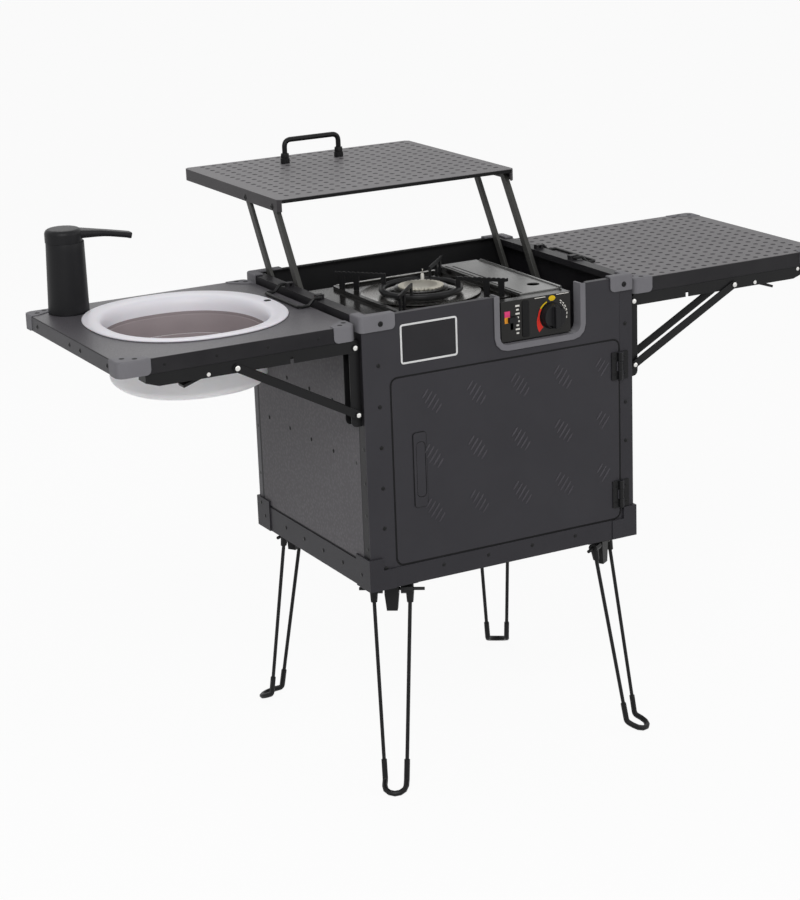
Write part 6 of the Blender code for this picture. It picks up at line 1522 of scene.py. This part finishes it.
# Of so many points for each slot and the tooth beside it, the first few lie in the slot
SLOT_POINTS, SLOT_OPEN = 6, 2
SLOT_SHARE = 0.95
SLOT_DEEP = 0.0008
SLOT_TOP_FROM = 0.0010
# The disc's section: share of its radius, height over the stove's top, whether the slots cut it
DISC_SECTION = ((0.97, -0.0008, False), (1.0, -0.0004, True), (1.0, 0.0006, True), (0.975, 0.0012, True),
                (0.80, 0.0016, True), (0.72, 0.0016, False), (0.60, 0.0010, False), (0.30, 0.0008, False))
DISH_FLOOR = 0.0012
DISH_SECTION = ((0.0590, 0.00005), (0.0855, 0.00005), (0.0925, 0.0022), (0.0925, 0.0026), (0.0850, 0.00025),
                (0.0590, 0.00025))
TRAY_EDGE_IN = 0.0080
TRAY_EDGE_REAR = (0.0070, 0.0008)
TRAY_EDGE_RISE = 0.0005


def burner():
    """The burner's bright slotted disc and the round bright dish that lies in the tray under it."""
    rings = []
    for share, height, slotted in DISC_SECTION:
        ring = []
        for index, angle in enumerate(turns(BURNER_SLOTS * SLOT_POINTS)):
            cut = slotted and index % SLOT_POINTS < SLOT_OPEN
            reach = BURNER_DISC * share * (SLOT_SHARE if cut else 1.0)
            down = SLOT_DEEP if cut and height > SLOT_TOP_FROM else 0.0
            ring.append(Vector((BURNER[0] + reach * math.cos(angle), BURNER[1] + reach * math.sin(angle),
                                STOVE_HIGH.z + height - down)))
        rings.append(ring)
    made_piece("burner_disc", skinned(rings), BURNER_METAL, "stove", 30.0)
    section = [(reach, TRAY_LOW.z + DISH_FLOOR + rise) for reach, rise in DISH_SECTION]
    made_piece("tray_dish", hoop(BURNER, section, 96), TRAY_STEEL, "stove", 40.0)
    rear = extruded(rectangle((TRAY_LOW.x + TRAY_EDGE_IN, TRAY_HIGH.y - TRAY_EDGE_REAR[0]),
                              (TRAY_HIGH.x - TRAY_EDGE_IN, TRAY_HIGH.y - TRAY_EDGE_REAR[1])), "z",
                    TRAY_HIGH.z + FILM, TRAY_HIGH.z + TRAY_EDGE_RISE)
    made_piece("tray_rear_edge", rear, TRAY_STEEL, "stove")


RING_RADIUS = 0.0605
RING_TUBE = 0.0049
RING_HEIGHT = 0.0072
PRONG_THICK = 0.0032
PRONG_INNER = 0.0570
PRONG_ROOT = 0.0075
PRONG_ROOT_LEAN = 0.0005
PRONG_TIP = 0.1400
PRONG_TIP_UP = 0.0010
PRONG_TALL = 0.0062
PRONG_FEET = ((0.1015, 0.1100), (0.1250, 0.1335))
FOOT_SPREAD = 0.0008
PRONG_TEETH = 11
PRONG_TOOTH = 0.0014
TOOTH_SHARES = ((0.3, 0.0), (0.5, 1.0), (0.8, 0.0))


def pan_support():
    """The pan support: a thick round ring and four toothed prongs that stand on two feet each."""
    low, high = span("trivet")
    ring_height = low.z + RING_HEIGHT
    under = high.z - PRONG_TALL
    outline = [(PRONG_INNER, ring_height), (PRONG_INNER, high.z)]
    pitch = (PRONG_TIP - PRONG_INNER) / PRONG_TEETH
    for start in row(PRONG_INNER, pitch, PRONG_TEETH):
        outline += [(start + pitch * along, high.z - PRONG_TOOTH * down) for along, down in TOOTH_SHARES]
    outline += [(PRONG_TIP, high.z), (PRONG_TIP, under + PRONG_TIP_UP)]
    for first, last in reversed(PRONG_FEET):
        outline += [(last + FOOT_SPREAD, under), (last, low.z), (first, low.z), (first - FOOT_SPREAD, under)]
    outline += [(PRONG_INNER + PRONG_ROOT, under), (PRONG_INNER + PRONG_ROOT - PRONG_ROOT_LEAN, ring_height)]
    lean = math.atan2(high.y - low.y, high.x - low.x)
    shapes = [hoop(BURNER, oval((RING_RADIUS, ring_height), RING_TUBE, RING_TUBE, turns(14)), 64)]
    for angle in (lean, math.pi - lean, math.pi + lean, -lean):
        place = Matrix.Translation((*BURNER, 0.0)) @ Matrix.Rotation(angle, 4, "Z")
        shapes.append(moved(extruded(outline, "y", -PRONG_THICK / 2, PRONG_THICK / 2), place))
    made_piece("pan_support", joined(shapes), BLACK_STEEL, "trivet", node="trivet", soft=0.0004)


COVER_SHEET = 0.0018
COVER_HOLE = (0.0498, 0.0440)
COVER_HOLE_RADIUS = 0.0100
COVER_ROLL = 0.0022
GROOVE_HALF = 0.0013
GROOVE_LIFT = 0.00002
# The long groove: its distance from the left edge, and its ends' distance from the front and rear edges
LONG_GROOVE = (0.0045, 0.0040)
# The short groove: its distance from the left edge, and its ends' distances from the rear edge
SHORT_GROOVE = (0.0140, 0.1200, 0.0120)


def bay_cover():
    """The cartridge bay's cover: a brushed sheet with a thumb hole, two grooves drawn as dark strips of painted
    shade, and a rolled hinge.
    """
    low, high = span("cartridge_cover")
    top = low.z + COVER_SHEET
    right = high.x - COVER_ROLL
    middle = (low.x + COVER_HOLE[0], low.y + COVER_HOLE[1])
    hole = oval(middle, COVER_HOLE_RADIUS, COVER_HOLE_RADIUS, turns(64))
    sheet = framed(squared(hole, middle, low.xy, (right, high.y)), hole, "z", low.z, top)
    roll = turned([(COVER_ROLL, low.y), (COVER_ROLL, high.y)], (right, low.z + COVER_ROLL), "y", 24)
    made_piece("bay_cover", joined([sheet, roll]), COVER_STEEL, "cartridge_cover", 30.0, node="cartridge_cover")
    # Painted shade: the grooves are flat near-black strips
    lines = []
    for x, first, last in ((low.x + LONG_GROOVE[0], low.y + LONG_GROOVE[1], high.y - LONG_GROOVE[1]),
                           (low.x + SHORT_GROOVE[0], high.y - SHORT_GROOVE[1], high.y - SHORT_GROOVE[2])):
        line = rectangle((x - GROOVE_HALF, first), (x + GROOVE_HALF, last))
        lines.append(extruded(line, "z", top + GROOVE_LIFT, top + FLUSH_RISE))
    made_piece("bay_cover_grooves", joined(lines), RUBBER_AND_SHADE, "cartridge_cover")


# The igniter's place from the burner's middle, and its sizes over the tray's floor
IGNITER = (0.0300, 0.0520)
BRACKET_HALF = 0.0060
BRACKET_TALL = 0.0160
BRACKET_SHEET = 0.0012
INSULATOR_OFF = 0.0032
INSULATOR_SECTION = ((0.0022, 0.0040), (0.0028, 0.0060), (0.0028, 0.0170), (0.0016, 0.0200))
WIRE_START = 0.0180
WIRE_TOP = 0.0270
WIRE_TIP = (0.0040, 0.0120)
WIRE_BEND = 0.0030
WIRE_RADIUS = 0.0008


def igniter():
    """The spark electrode behind the burner: a white insulator on a bracket, with its bent wire."""
    x, y = BURNER[0] + IGNITER[0], BURNER[1] + IGNITER[1]
    deck = TRAY_LOW.z
    bracket = extruded(rectangle((x - BRACKET_HALF, deck), (x + BRACKET_HALF, deck + BRACKET_TALL)), "y", y,
                       y + BRACKET_SHEET)
    made_piece("igniter_bracket", bracket, BLACK_STEEL, "stove", soft=0.0003)
    body = turned([(radius, deck + up) for radius, up in INSULATOR_SECTION], (x, y - INSULATOR_OFF), "z", 20)
    made_piece("igniter_insulator", body, INK_WHITE, "stove", 30.0)
    path = [Vector((x, y - INSULATOR_OFF, deck + WIRE_START)), Vector((x, y - INSULATOR_OFF, deck + WIRE_TOP)),
            Vector((x - WIRE_TIP[0], y - WIRE_TIP[1], deck + WIRE_TOP))]
    made_piece("igniter_wire", piped(filleted(path, WIRE_BEND), WIRE_RADIUS, 8), TRAY_STEEL, "stove", 30.0)


control_plate()
burner()
pan_support()
bay_cover()
igniter()
